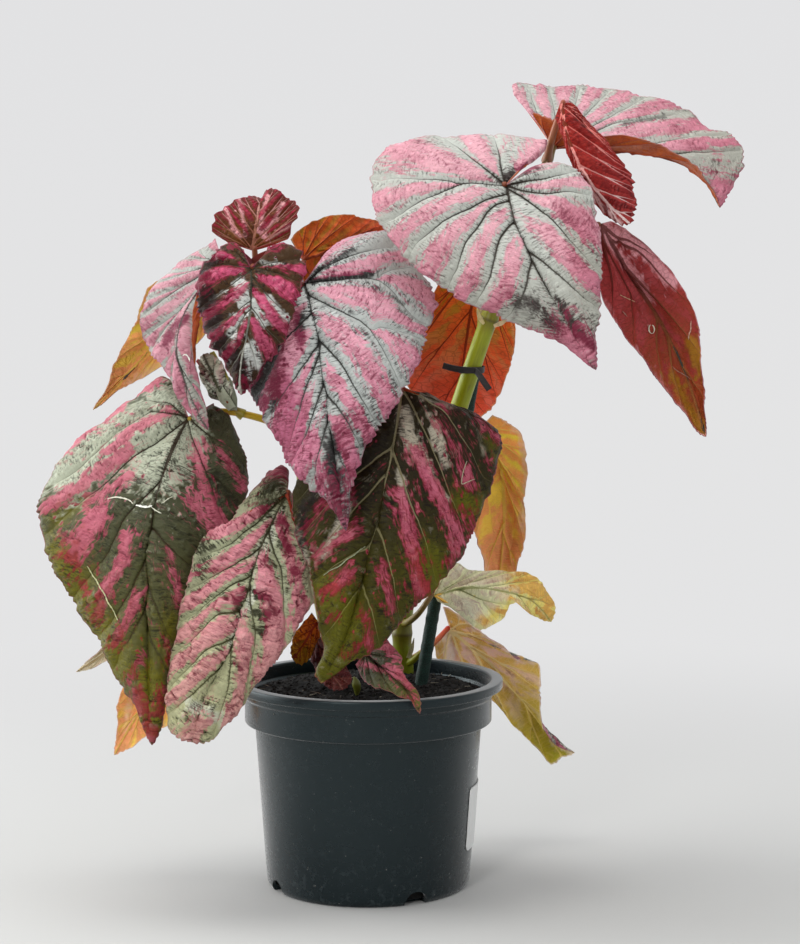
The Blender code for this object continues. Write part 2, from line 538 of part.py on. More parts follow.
def make_soil(parts, cutters):
    material = new_material("Potting soil", (0.020, 0.016, 0.013), 0.95)
    wall = COLLAR_LOWER_RADIUS - WALL - GAP
    low = body_radius(COLLAR_BOTTOM_Z) - WALL - GAP
    dome = [(wall * math.sin(k * math.pi / 12), SOIL_EDGE_Z + (SOIL_MIDDLE_Z - SOIL_EDGE_Z)
             * math.cos(k * math.pi / 12) ** 1.3) for k in range(6)]
    profile = dome + [
        (wall, SOIL_EDGE_Z), (wall, COLLAR_BOTTOM_Z + 0.0046), (low, COLLAR_BOTTOM_Z),
        (body_radius(0.006) - WALL - GAP, 0.0062), (body_radius(FLOOR) - WALL - 0.0026, FLOOR + GAP),
        (0.0, FLOOR + GAP)]
    soil = turned("soil", profile, parts, material)
    holes = []
    for name, cane in CANES.items():
        line, thick = cane_line(cane)
        holes.append((name + "_hole", [line[0] - (line[1] - line[0]) * 0.05, line[1], line[2], line[3]],
                      [thick[0] + 2 * GAP] * 4))
    low, high = (seen(*place) for place in STAKE)
    along = (high - low) / np.linalg.norm(high - low)
    holes.append(("stake_hole", [low - along * (STEM_DEPTH + GAP), low + along * 0.03],
                  [STAKE_RADIUS + 2 * GAP] * 2))
    bud = [seen(*place) for place in BUD]
    holes.append(("bud_hole", [bud[0] - (0, 0, BUD_DEPTH + GAP), bud[0] + (0, 0, 0.004)],
                  [BUD_RADII[0] / 1000 + 2 * GAP] * 2))
    for name, points, radii in holes:
        hole = tube(name, points, radii, cutters)
        mark_cutter(hole)
        cut(soil, hole)
    return soil


def make_stake(parts):
    low, high = (seen(*place) for place in STAKE)
    along = (high - low) / np.linalg.norm(high - low)
    points = [low - along * STEM_DEPTH, high, high + along * 0.0015]
    radii = [STAKE_RADIUS, STAKE_RADIUS, STAKE_RADIUS * 0.7]
    return tube("stake", points, radii, parts, 3, new_material("Stake plastic", (0.01, 0.09, 0.08), 0.4))


def make_bud(parts):
    """A small shoot that has just come up through the soil."""
    points = [seen(*place) for place in BUD]
    points = [points[0] - (0, 0, BUD_DEPTH)] + points
    radii = [BUD_RADII[0] / 1000] + [r / 1000 for r in BUD_RADII]
    return tube("bud", points, radii, parts, 2, new_material("Bud green", (0.30, 0.45, 0.08), 0.4))


def nearest_at_height(line, z):
    """Where a rising line passes a height."""
    heights = line[:, 2]
    return np.array([np.interp(z, heights, line[:, axis]) for axis in range(3)])


def make_tie(parts):
    """A flat strip looped round the cane and the stake, with its two tails."""
    material = new_material("Tie rubber", (0.012, 0.012, 0.013), 0.6)
    height = seen(*TIE_CENTRE)[2]
    line, thick = cane_line(CANES["cane_right"])
    cane = nearest_at_height(line, height)
    low, high = (seen(*place) for place in STAKE)
    stake = low + (high - low) * (height - low[2]) / (high[2] - low[2])
    apart = stake - cane
    heading = math.atan2(apart[1], apart[0])
    loose = TIE_THICKNESS / 2 + TIE_SLACK
    cane_reach = float(np.interp(height, line[:, 2], thick)) + loose
    stake_reach = STAKE_RADIUS + loose
    ring = []
    for centre, reach, start in ((cane, cane_reach, heading + math.pi / 2),
                                 (stake, stake_reach, heading - math.pi / 2)):
        for k in range(9):
            angle = start + math.pi * k / 8
            ring.append((centre[0] + reach * math.cos(angle), centre[1] + reach * math.sin(angle), height))
    things = [strip("tie_loop", ring, True, parts)]
    front = np.array([cane[0], cane[1] - cane_reach, height])
    things.append(strip("tie_tail_left", [front + (0.001, 0.0, 0.0), front + (-0.010, -0.0010, 0.001),
                                          front + (-0.018, 0.0005, 0.003)], False, parts))
    things.append(strip("tie_tail_right", [front + (0.002, 0.0, 0.0), front + (0.006, -0.003, -0.005),
                                           front + (0.011, -0.003, -0.012)], False, parts))
    return union("tie", things, parts, material)


def strip(name, points, closed, parts):
    curve = bpy.data.curves.new(name, "CURVE")
    curve.dimensions = "3D"
    curve.bevel_depth = TIE_THICKNESS / 2
    curve.bevel_resolution = 1
    curve.extrude = TIE_WIDTH / 2 - TIE_THICKNESS / 2
    curve.use_fill_caps = True
    curve.twist_mode = "Z_UP"
    spline = curve.splines.new("POLY")
    spline.points.add(len(points) - 1)
    spline.use_cyclic_u = closed
    for node, place in zip(spline.points, points):
        node.co = (*place, 1.0)
    return curve_to_mesh(name, curve, parts)


def make_label(parts):
    """A bare white sticker that lies round the side of the pot."""
    material = new_material("Label paper", (0.80, 0.80, 0.80), 0.6)
    off = GAP + LABEL_THICKNESS / 2
    low = (body_radius(LABEL_BOTTOM_Z) + off, 0.0, LABEL_BOTTOM_Z)
    high = (body_radius(LABEL_TOP_Z) + off, 0.0, LABEL_TOP_Z)
    mesh = bpy.data.meshes.new("label")
    mesh.from_pydata([high, low], [(0, 1)], [])
    mesh.transform(Matrix.Rotation(math.radians(LABEL_START - 90), 4, "Z"))
    label = new_object("label", mesh, parts, material)
    screw = label.modifiers.new("Wrap", "SCREW")
    screw.angle = math.radians(LABEL_SWEEP)
    screw.steps = 8
    screw.render_steps = 8
    solid = label.modifiers.new("Paper", "SOLIDIFY")
    solid.thickness = LABEL_THICKNESS
    solid.offset = 0.0
    return label


def blade_line(leaf, part):
    """The midrib or a margin of a blade in metres, with the blade's lean."""
    top = leaf["midrib"][0][1]
    return [seen(across, down, depth + leaf["lean"] * (down - top) / 100)
            for across, down, depth in leaf[part]]


def half_points(leaf, side):
    """One half of a blade as rows of points, from the midrib out to the margin."""
    ribs = leaf["ribs"]
    midrib = blade_line(leaf, "midrib")
    margin = [midrib[-1]] + blade_line(leaf, side)
    turn = np.linspace(0, 1, ribs + 1)
    inner = smooth(midrib, 1 - np.minimum(1, turn / FAN_START) ** FAN_EASE)
    outer = smooth(margin, turn)
    across = outer - inner
    size = np.linalg.norm(across, axis=1)[:, None]
    teeth = TOOTH * np.where(np.arange(ribs + 1) % 2, 1.0, -1.0)[:, None] * np.minimum(1, size / SHORT_RIB)
    teeth[0] = 0
    outer = outer + across / np.maximum(size, 1e-6) * teeth
    puff = leaf["puff"] / 1000 * np.minimum(1, size[:, 0] / FULL_PUFF_WIDTH)
    phase = 0.0 if side == "left" else math.pi / 2
    wave = leaf["wave"] / 1000 * np.sin(np.arange(ribs + 1) * RIPPLE_PER_RIB + phase)
    wave[0] = 0
    facing = -1.0 if leaf["shows"] == "upper" else 1.0
    grid = []
    for p in np.linspace(0, 1, leaf["rows"] + 1):
        row = inner * (1 - p) + outer * p
        row[:, 1] += facing * puff * 4 * p * (1 - p) + wave * p * p
        grid.append(row)
    return np.array(grid)


def make_blade(name, leaf, parts):
    """A blade of its two halves, given a thickness, and where its petiole meets it from below."""
    work = bmesh.new()
    for side in ("left", "right"):
        grid = half_points(leaf, side)
        made = [[work.verts.new(place) for place in row] for row in grid]
        for j in range(leaf["rows"]):
            for i in range(leaf["ribs"]):
                work.faces.new((made[j][i], made[j][i + 1], made[j + 1][i + 1], made[j + 1][i]))
    bmesh.ops.remove_doubles(work, verts=work.verts, dist=0.00001)
    bmesh.ops.recalc_face_normals(work, faces=work.faces)
    work.normal_update()
    base = Vector(seen(*leaf["midrib"][0]))
    eye = Vector(EYE)
    toward = sum((eye - face.calc_center_median()).normalized().dot(face.normal) * face.calc_area()
                 for face in work.faces)
    if (toward > 0) != (leaf["shows"] == "upper"):
        bmesh.ops.reverse_faces(work, faces=work.faces)
    bmesh.ops.triangulate(work, faces=work.faces)
    work.normal_update()
    root = min(work.verts, key=lambda vert: (vert.co - base).length)
    under = -root.normal.copy()
    skin = BVHTree.FromBMesh(work)
    mesh = bpy.data.meshes.new(name)
    work.to_mesh(mesh)
    work.free()
    blade = new_object(name, mesh, parts, new_material(name + " skin", leaf["colour"], 0.35))
    solid = blade.modifiers.new("Blade", "SOLIDIFY")
    solid.thickness = BLADE_THICKNESS
    solid.offset = 0.0
    return blade, (base, under, skin)


def build():
    clear_scene()
    parts = new_collection("potted_begonia")
    cutters = new_collection("cutters")
    make_pot(parts, cutters)
    make_soil(parts, cutters)
    make_label(parts)
    make_stake(parts)
    make_tie(parts)
    make_bud(parts)
    covers = {}
    for name, leaf in LEAVES.items():
        covers[name] = make_blade(name, leaf, parts)[1]
    for name, cane in CANES.items():
        make_cane(name, cane, covers, parts)
    for thing in parts.objects:
        thing.data.shade_smooth()
        thing.data.set_sharp_from_angle(angle=math.radians(35))


build()
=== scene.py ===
import math

import bmesh
import bpy
import numpy as np
from mathutils import Matrix, Vector


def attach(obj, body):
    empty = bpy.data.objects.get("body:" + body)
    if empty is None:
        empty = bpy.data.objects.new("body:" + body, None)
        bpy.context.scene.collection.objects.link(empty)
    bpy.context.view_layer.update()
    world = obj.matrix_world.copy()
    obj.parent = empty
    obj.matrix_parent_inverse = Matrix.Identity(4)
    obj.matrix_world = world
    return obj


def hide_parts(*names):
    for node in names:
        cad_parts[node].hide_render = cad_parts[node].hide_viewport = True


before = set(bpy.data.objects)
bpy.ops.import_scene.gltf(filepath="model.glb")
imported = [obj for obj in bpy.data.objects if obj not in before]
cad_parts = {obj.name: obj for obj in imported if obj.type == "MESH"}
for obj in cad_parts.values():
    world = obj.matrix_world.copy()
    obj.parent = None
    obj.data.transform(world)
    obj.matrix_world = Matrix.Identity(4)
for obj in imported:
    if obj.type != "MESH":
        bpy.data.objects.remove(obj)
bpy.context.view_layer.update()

# A potted cane begonia with silver and pink leaves. Everything is in metres in the CAD's frame, with
# the pot's base on z = 0 and the plant facing -Y.
print("frame loaded")

# The eye that the plant is laid out from, and the picture that its pixel places are in
camera = {"place": (0.020, -1.389, 0.377), "pitch": 4.8, "focal": 2229.0, "middle": (400.0, 472.0),
          "lens": 85.0, "sensor": 36.0}
eyePlace = np.array(camera["place"])
eyeTilt = math.radians(camera["pitch"])
eyeAhead = np.array([0.0, math.cos(eyeTilt), -math.sin(eyeTilt)])
eyeUp = np.array([0.0, math.sin(eyeTilt), math.cos(eyeTilt)])


def seen(across, down, depth):
    # the point that shows at this pixel, at this depth behind the pot's axis in mm
    ray = eyeAhead + eyeUp * (camera["middle"][1] - down) / camera["focal"]
    ray = ray + np.array([(across - camera["middle"][0]) / camera["focal"], 0.0, 0.0])
    return eyePlace + ray * (depth / 1000 - eyePlace[1]) / ray[1]


def pictured(points):
    # where points show in the picture
    away = np.asarray(points) - eyePlace
    ahead = away @ eyeAhead
    return np.stack([camera["middle"][0] + camera["focal"] * away[..., 0] / ahead,
                     camera["middle"][1] - camera["focal"] * (away @ eyeUp) / ahead], axis=-1)


def unit(vector):
    return vector / np.linalg.norm(vector)


def gaps(points):
    # how far each point of a line is from the one before it
    return np.linalg.norm(np.diff(np.asarray(points, float), axis=0), axis=1)


def travelled(points):
    # how far along a line each of its points is
    return np.concatenate([[0.0], np.cumsum(gaps(points))])


def smooth(points, fractions):
    # points at these fractions of the length of a smooth curve through the given ones
    points = np.array(points, float)
    step = gaps(points)
    at = travelled(points)
    slope = np.gradient(points, at, axis=0)
    place = np.array(fractions) * at[-1]
    k = np.clip(np.searchsorted(at, place, side="right") - 1, 0, len(step) - 1)
    t = ((place - at[k]) / step[k])[:, None]
    h = step[k][:, None]
    return ((2 * t**3 - 3 * t**2 + 1) * points[k] + (t**3 - 2 * t**2 + t) * h * slope[k]
            + (3 * t**2 - 2 * t**3) * points[k + 1] + (t**3 - t**2) * h * slope[k + 1])


def ease(value, low, high):
    # 0 below low, 1 above high and a soft step between
    t = np.clip((value - low) / (high - low), 0, 1)
    return t * t * (3 - 2 * t)


def swell(points, size, seed):
    # smooth bumps about 1 high, of this size in metres
    chance = np.random.default_rng(seed)
    total = np.zeros(points.shape[:-1])
    for _ in range(7):
        heading = chance.normal(size=3)
        heading *= 2 * math.pi / size * chance.uniform(0.6, 1.5) / np.linalg.norm(heading)
        total += np.sin(points @ heading + chance.uniform(0, 6.28))
    return total / 3.2


def lineDistance(places, line):
    # how far places are from a line of points in the picture
    line = np.array(line, float)
    if len(line) == 1:
        return np.linalg.norm(places - line[0], axis=-1)
    best = np.full(places.shape[:-1], 1e9)
    for start, end in zip(line[:-1], line[1:]):
        along = end - start
        t = np.clip((places - start) @ along / (along @ along), 0, 1)
        best = np.minimum(best, np.linalg.norm(places - start - t[..., None] * along, axis=-1))
    return best


class Wire:
    # an output socket that sums and products can be written with
    def __init__(self, tree, socket):
        self.tree = tree
        self.socket = socket

    def other(self, name):
        return Wire(self.tree, self.socket.node.outputs[name])

    def maths(self, operation, first, second):
        return self.tree.node("ShaderNodeMath", {"operation": operation}, {0: first, 1: second})

    def __add__(self, value):
        return self.maths("ADD", self, value)

    def __radd__(self, value):
        return self.maths("ADD", value, self)

    def __sub__(self, value):
        return self.maths("SUBTRACT", self, value)

    def __rsub__(self, value):
        return self.maths("SUBTRACT", value, self)

    def __mul__(self, value):
        return self.maths("MULTIPLY", self, value)


class Tree:
    # a node tree of either kind
    def __init__(self, group):
        self.group = group

    def node(self, kind, settings=None, inputs=None, output=0):
        made = self.group.nodes.new(kind)
        for name, value in (settings or {}).items():
            setattr(made, name, value)
        for name, value in (inputs or {}).items():
            socket = made.inputs[name]
            if isinstance(value, Wire):
                self.group.links.new(value.socket, socket)
            elif socket.type == "RGBA" and len(value) == 3:
                socket.default_value = (*value, 1.0)
            else:
                socket.default_value = value
        return Wire(self, made.outputs[output]) if made.outputs else made

    def blend(self, share, first, second, kind="MIX"):
        return self.node("ShaderNodeMix", {"data_type": "RGBA", "blend_type": kind},
                         {0: share, 6: first, 7: second}, 2)

    def stretch(self, vector, scale):
        return self.node("ShaderNodeVectorMath", {"operation": "MULTIPLY"}, {0: vector, 1: scale})

    def noise(self, vector, scale, detail, rough):
        return self.node("ShaderNodeTexNoise", {},
                         {"Vector": vector, "Scale": scale, "Detail": detail, "Roughness": rough})

    def step(self, value, low, high):
        return self.node("ShaderNodeMapRange", {"interpolation_type": "SMOOTHSTEP"},
                         {"Value": value, "From Min": low, "From Max": high})

    def field(self, name, output="Vector"):
        return self.node("ShaderNodeAttribute", {"attribute_name": name, "attribute_type": "GEOMETRY"},
                         {}, output)

    def paint(self, name):
        return self.field(name + "Colour", "Color")

    def onObject(self):
        # where a point is on its own object
        return self.node("ShaderNodeTexCoord").other("Object")

    def split(self, vector):
        parts = self.node("ShaderNodeSeparateXYZ", {}, {0: vector})
        return parts, parts.other("Y"), parts.other("Z")

    def grey(self, value):
        return self.node("ShaderNodeCombineXYZ", {}, {0: value, 1: value, 2: value})

    def bump(self, height, strength, distance):
        return self.node("ShaderNodeBump", {}, {"Strength": strength, "Distance": distance,
                                                "Height": height})


def newMaterial(name):
    # a material with its tree and its shader
    made = bpy.data.materials.new(name)
    made.use_nodes = True
    return made, Tree(made.node_tree), made.node_tree.nodes["Principled BSDF"]


def finishShader(tree, shader, colour, roughness, normal, fixed):
    # what varies is linked, and what is the same all over is set
    for name, value in (("Base Color", colour), ("Roughness", roughness), ("Normal", normal)):
        if isinstance(value, Wire):
            tree.group.links.new(value.socket, shader.inputs[name])
        elif value is not None:
            shader.inputs[name].default_value = value
    for name, value in fixed.items():
        shader.inputs[name].default_value = value


def newObject(name, mesh):
    made = bpy.data.objects.new(name, mesh)
    bpy.context.scene.collection.objects.link(made)
    return made


def bakeModifiers(thing):
    # the evaluated shape becomes a plain mesh
    graph = bpy.context.evaluated_depsgraph_get()
    graph.update()
    mesh = bpy.data.meshes.new_from_object(thing.evaluated_get(graph))
    thing.modifiers.clear()
    old = thing.data
    thing.data = mesh
    mesh.name = thing.name
    bpy.data.meshes.remove(old)


def softEdges(thing, angle):
    thing.data.shade_smooth()
    thing.data.set_sharp_from_angle(angle=math.radians(angle))


def settle(thing, slot, *nodes):
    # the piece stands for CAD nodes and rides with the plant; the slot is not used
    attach(thing, "root")
    if nodes:
        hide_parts(*nodes)


# Each blade is its midrib and its two margins, from the tip round to the lobe beside the petiole, as
# (across, down, depth). These are the CAD's own blades, drawn finer here.
leafShapes = {
    "leaf_top_front": {
        "shows": "upper", "ribs": 18, "puff": 8, "wave": 1.2, "lean": -10,
        "midrib": [(506, 185, -50), (516, 225, -66), (545, 285, -82), (596, 370, -84)],
        "left": [(556, 341, -82), (525, 327, -80), (487, 312, -77), (438, 285, -72), (408, 260, -66),
                 (384, 230, -58), (371, 192, -48), (374, 166, -41), (386, 149, -35), (421, 138, -28),
                 (460, 136, -24), (504, 135, -22), (546, 142, -22), (528, 160, -36)],
        "right": [(597, 334, -82), (600, 300, -78), (602, 262, -72), (598, 224, -65), (590, 190, -58),
                  (575, 168, -54), (553, 163, -52), (528, 170, -50)]},
    "leaf_top_back": {
        "shows": "upper", "ribs": 16, "puff": 0, "wave": 1.5, "lean": 0,
        "midrib": [(553, 147, 4), (608, 151, 9), (660, 157, 12), (700, 176, 12), (720, 208, 8)],
        "left": [(732, 188, 16), (743, 168, 22), (741, 148, 28), (727, 133, 34), (706, 127, 38),
                 (690, 112, 44), (669, 101, 50), (641, 96, 54), (613, 89, 56), (580, 86, 54),
                 (547, 86, 48), (512, 85, 36), (532, 112, 20)],
        "right": [(713, 190, 4), (702, 174, -2), (685, 158, -7), (664, 147, -11), (628, 136, -13),
                  (603, 135, -13), (578, 128, -12), (555, 120, -10), (533, 113, -4), (544, 132, 0)]},
    "leaf_top_young": {
        "shows": "upper", "ribs": 12, "puff": 2, "wave": 0.8, "lean": 0,
        "midrib": [(561, 103, -28), (566, 135, -37), (583, 172, -42), (606, 202, -41), (630, 224, -36)],
        "left": [(618, 222, -36), (600, 210, -39), (584, 190, -41), (572, 165, -38), (563, 140, -33),
                 (556, 118, -27)],
        "right": [(636, 204, -32), (633, 183, -29), (624, 165, -27), (610, 146, -25), (594, 128, -24),
                  (583, 115, -24), (571, 103, -25)]},
    "leaf_right_hanging": {
        "shows": "under", "ribs": 14, "puff": 3, "wave": 1.2, "lean": 18,
        "midrib": [(601, 224, 16), (626, 268, 24), (658, 318, 28), (686, 375, 26), (706, 437, 18)],
        "left": [(696, 429, 14), (684, 413, 12), (664, 388, 10), (641, 356, 8), (622, 332, 8),
                 (606, 306, 8), (595, 272, 8), (592, 240, 10)],
        "right": [(705, 405, 16), (702, 375, 16), (701, 346, 17), (696, 318, 19), (684, 290, 21),
                  (668, 267, 22), (651, 250, 22), (632, 234, 21), (612, 221, 18)]},
    "leaf_behind_stake": {
        "shows": "under", "ribs": 12, "puff": 3, "wave": 1.0, "lean": 10,
        "midrib": [(479, 262, 42), (471, 310, 58), (463, 365, 64), (455, 428, 60)],
        "left": [(430, 412, 58), (407, 383, 56), (413, 350, 55), (424, 320, 53), (436, 288, 49),
                 (455, 262, 44)],
        "right": [(482, 418, 57), (501, 390, 55), (512, 360, 53), (515, 328, 50), (511, 298, 46),
                  (499, 270, 42)]},
    "leaf_behind_middle": {
        "shows": "under", "ribs": 12, "puff": 2, "wave": 1.0, "lean": 12,
        "midrib": [(302, 260, 20), (335, 252, 38), (366, 262, 50), (398, 294, 54)],
        "left": [(385, 316, 52), (355, 318, 46), (325, 305, 38), (306, 286, 28), (296, 268, 20)],
        "right": [(403, 264, 54), (394, 238, 54), (383, 223, 53), (362, 217, 51), (340, 215, 47),
                  (320, 218, 41), (303, 227, 33), (291, 240, 24)]},
    "leaf_crown_upright": {
        "shows": "upper", "ribs": 12, "puff": 1, "wave": 1.5, "lean": 0,
        "midrib": [(252, 250, -36), (256, 226, -35), (259, 207, -28), (262, 199, -16)],
        "left": [(250, 197, -20), (240, 199, -24), (230, 203, -27), (222, 208, -29), (215, 217, -30),
                 (212, 229, -31), (228, 243, -33)],
        "right": [(268, 190, -18), (280, 191, -22), (290, 198, -25), (298, 208, -27), (298, 216, -29),
                  (291, 225, -30), (291, 236, -32), (274, 244, -34)]},
    "leaf_crown_front": {
        "shows": "upper", "ribs": 14, "puff": 5, "wave": 1.5, "lean": -4,
        "midrib": [(251, 268, -56), (251, 305, -72), (247, 334, -80), (241, 362, -82), (241, 395, -76)],
        "left": [(230, 374, -74), (219, 356, -72), (209, 341, -68), (202, 319, -62), (196, 296, -56),
                 (201, 272, -50), (214, 253, -46), (231, 242, -45), (244, 250, -49)],
        "right": [(253, 382, -74), (262, 370, -73), (276, 351, -71), (289, 329, -69), (296, 307, -66),
                  (301, 285, -62), (305, 266, -57), (300, 250, -53), (284, 244, -51), (266, 252, -53)]},
    "leaf_left_folded": {
        "shows": "upper", "ribs": 14, "puff": 2, "wave": 1.2, "lean": -5,
        "midrib": [(223, 262, -26), (192, 300, -38), (177, 345, -48), (189, 392, -54), (208, 430, -54)],
        "left": [(194, 417, -50), (181, 405, -47), (172, 382, -43), (161, 364, -38), (149, 352, -32),
                 (141, 324, -26), (148, 294, -20), (168, 273, -14), (192, 254, -10), (216, 240, -12)],
        "right": [(207, 411, -55), (202, 393, -55), (196, 373, -54), (192, 350, -52), (192, 324, -47),
                  (196, 298, -41), (204, 280, -35), (215, 268, -30)]},
    "leaf_left_back": {
        "shows": "under", "ribs": 12, "puff": 2, "wave": 1.0, "lean": 16,
        "midrib": [(213, 298, 4), (175, 322, 16), (136, 365, 22), (93, 410, 20)],
        "left": [(105, 391, 17), (112, 370, 16), (122, 349, 15), (134, 324, 14), (143, 301, 12),
                 (152, 284, 10), (180, 276, 5)],
        "right": [(109, 398, 19), (125, 387, 18), (144, 377, 17), (163, 366, 15), (186, 352, 12),
                  (206, 334, 7)]},
    "leaf_left_large": {
        "shows": "upper", "ribs": 20, "puff": 9, "wave": 1.8, "lean": -12,
        "midrib": [(188, 417, -38), (165, 470, -56), (150, 530, -64), (148, 600, -66), (149, 680, -62),
                   (152, 745, -56)],
        "left": [(134, 706, -55), (116, 676, -54), (101, 645, -52), (83, 618, -50), (67, 592, -48),
                 (53, 566, -46), (44, 541, -43), (38, 517, -39), (42, 493, -35), (56, 467, -30),
                 (78, 441, -25), (109, 417, -20), (134, 397, -17), (164, 377, -17), (180, 394, -27)],
        "right": [(161, 728, -57), (168, 697, -57), (176, 655, -57), (188, 612, -51), (205, 575, -48),
                  (225, 540, -42), (244, 502, -36), (248, 466, -31), (241, 447, -29), (230, 418, -27),
                  (212, 404, -29)]},
    "leaf_left_crumpled": {
        "shows": "upper", "ribs": 8, "puff": 1, "wave": 2.0, "lean": 0,
        "midrib": [(224, 402, -27), (218, 388, -31), (211, 371, -33), (203, 354, -31)],
        "left": [(199, 365, -31), (202, 382, -31), (210, 398, -29)],
        "right": [(216, 356, -30), (226, 370, -29), (233, 385, -27), (232, 400, -25)]},
    "leaf_low_middle": {
        "shows": "upper", "ribs": 18, "puff": 7, "wave": 1.8, "lean": -8,
        "midrib": [(287, 494, -60), (262, 545, -76), (247, 593, -86), (230, 649, -92), (207, 695, -92),
                   (192, 742, -88)],
        "left": [(170, 731, -86), (166, 715, -85), (168, 683, -83), (175, 638, -80), (182, 604, -77),
                 (190, 573, -77), (200, 544, -73), (220, 530, -68), (240, 508, -60), (261, 480, -50),
                 (284, 466, -42), (288, 480, -48)],
        "right": [(206, 742, -88), (233, 717, -88), (258, 683, -86), (282, 652, -83), (302, 621, -78),
                  (313, 600, -73), (313, 573, -68), (303, 545, -63), (297, 518, -58), (296, 500, -56)]},
    "leaf_front_right": {
        "shows": "upper", "ribs": 20, "puff": 8, "wave": 1.5, "lean": -4,
        "midrib": [(402, 388, -58), (394, 440, -72), (379, 512, -84), (362, 581, -92), (345, 640, -92),
                   (321, 683, -86)],
        "left": [(317, 674, -86), (323, 655, -87), (320, 632, -88), (316, 600, -88), (310, 574, -86),
                 (300, 546, -82), (293, 520, -76), (293, 494, -68), (306, 468, -58), (332, 440, -50),
                 (362, 410, -48), (388, 389, -52)],
        "right": [(343, 669, -87), (364, 655, -87), (385, 642, -85), (402, 621, -82), (417, 604, -78),
                  (437, 587, -73), (454, 566, -68), (471, 538, -62), (482, 508, -56), (493, 480, -50),
                  (500, 456, -44), (498, 432, -38), (475, 414, -36), (449, 407, -40), (424, 393, -48)]},
    "leaf_center_large": {
        "shows": "upper", "ribs": 20, "puff": 8, "wave": 1.2, "lean": -6,
        "midrib": [(304, 283, -36), (317, 330, -54), (324, 378, -70), (332, 440, -88), (346, 531, -104)],
        "left": [(338, 516, -100), (325, 501, -96), (305, 483, -88), (288, 463, -80), (277, 440, -73),
                 (265, 420, -66), (256, 404, -60), (248, 391, -54), (249, 360, -46), (262, 326, -38),
                 (280, 300, -31), (292, 278, -27), (300, 270, -29)],
        "right": [(350, 505, -102), (355, 474, -98), (363, 454, -95), (376, 433, -91), (397, 402, -83),
                  (410, 380, -76), (421, 354, -68), (428, 331, -60), (435, 308, -51), (431, 285, -42),
                  (411, 260, -33), (386, 231, -24), (368, 233, -21), (343, 242, -22), (324, 256, -26)]},
    "leaf_right_back": {
        "shows": "under", "ribs": 12, "puff": 2, "wave": 1.2, "lean": 14,
        "midrib": [(479, 429, 36), (499, 462, 46), (504, 515, 52), (499, 584, 48)],
        "left": [(487, 576, 46), (483, 560, 44), (477, 540, 42), (470, 515, 40), (466, 485, 38),
                 (464, 455, 36), (468, 430, 34)],
        "right": [(514, 576, 44), (520, 556, 43), (526, 528, 42), (524, 500, 41), (527, 470, 39),
                  (524, 442, 36), (512, 425, 33), (493, 415, 32)]},
    "leaf_pale_twisted": {
        "shows": "upper", "ribs": 16, "puff": 1, "wave": 1.2, "lean": 0,
        "midrib": [(434, 595, -9), (470, 588, -12), (503, 592, -9), (530, 600, 0), (551, 622, 8)],
        "left": [(536, 617, 2), (524, 608, -5), (514, 603, -11), (501, 619, -13), (480, 629, -14),
                 (488, 612, -14), (466, 613, -13), (450, 608, -11), (438, 601, -10)],
        "right": [(555, 608, 10), (550, 594, 12), (539, 581, 11), (526, 573, 9), (508, 571, 6),
                  (490, 571, 3), (469, 570, 0), (454, 563, -3), (438, 582, -7)]},
    "leaf_right_low": {
        "shows": "under", "ribs": 16, "puff": 2, "wave": 1.2, "lean": 8,
        "midrib": [(450, 629, 90), (494, 668, 99), (534, 714, 101), (562, 757, 94)],
        "left": [(551, 764, 94), (542, 754, 96), (527, 739, 99), (511, 722, 102), (494, 702, 104),
                 (470, 688, 105), (448, 676, 103), (437, 658, 99), (435, 644, 95)],
        "right": [(574, 754, 92), (556, 745, 93), (544, 731, 93), (541, 708, 91), (540, 684, 89),
                  (537, 663, 88), (518, 659, 89), (503, 647, 89), (486, 635, 89), (470, 623, 89),
                  (457, 613, 89), (443, 607, 89)]},
    "leaf_soil_small": {
        "shows": "upper", "ribs": 12, "puff": 2, "wave": 1.0, "lean": 0,
        "midrib": [(365, 653, -56), (388, 674, -70), (408, 692, -82), (420, 714, -87)],
        "left": [(411, 701, -85), (400, 696, -83), (385, 691, -78), (371, 686, -71), (362, 677, -64),
                 (356, 665, -57)],
        "right": [(421, 700, -86), (414, 686, -81), (404, 675, -76), (402, 662, -70), (396, 650, -64),
                  (387, 640, -59), (374, 643, -56)]},
    "leaf_left_low_back": {
        "shows": "under", "ribs": 10, "puff": 1, "wave": 1.0, "lean": 14,
        "midrib": [(190, 630, 6), (165, 667, 10), (139, 711, 11), (114, 755, 8)],
        "left": [(117, 729, 7), (117, 706, 6), (125, 684, 5), (140, 655, 4), (162, 630, 4)],
        "right": [(131, 748, 8), (146, 737, 8), (166, 726, 9), (182, 704, 9), (192, 675, 8)]},
    "leaf_left_pale_back": {
        "shows": "under", "ribs": 8, "puff": 1, "wave": 0.8, "lean": 10,
        "midrib": [(150, 600, 14), (126, 630, 18), (102, 655, 18), (76, 672, 16)],
        "left": [(91, 658, 16), (101, 648, 16), (114, 625, 15), (134, 604, 13)],
        "right": [(88, 670, 17), (99, 665, 17), (114, 658, 17), (132, 648, 16), (148, 622, 14)]},
    "leaf_basal_olive": {
        "shows": "upper", "ribs": 8, "puff": 1, "wave": 0.8, "lean": 0,
        "midrib": [(318, 622, -22), (309, 635, -25), (301, 648, -26), (293, 660, -24)],
        "left": [(291, 648, -26), (295, 634, -26), (304, 621, -25), (312, 613, -22)],
        "right": [(302, 664, -22), (309, 659, -21), (315, 648, -20), (320, 635, -20)]},
    "leaf_basal_maroon": {
        "shows": "upper", "ribs": 8, "puff": 1, "wave": 1.0, "lean": 0,
        "midrib": [(316, 634, -10), (321, 655, -18), (331, 673, -28), (343, 690, -40)],
        "left": [(332, 690, -38), (319, 676, -28), (311, 658, -18), (309, 642, -11)],
        "right": [(351, 684, -38), (348, 668, -28), (337, 652, -18), (325, 639, -11)]},
}
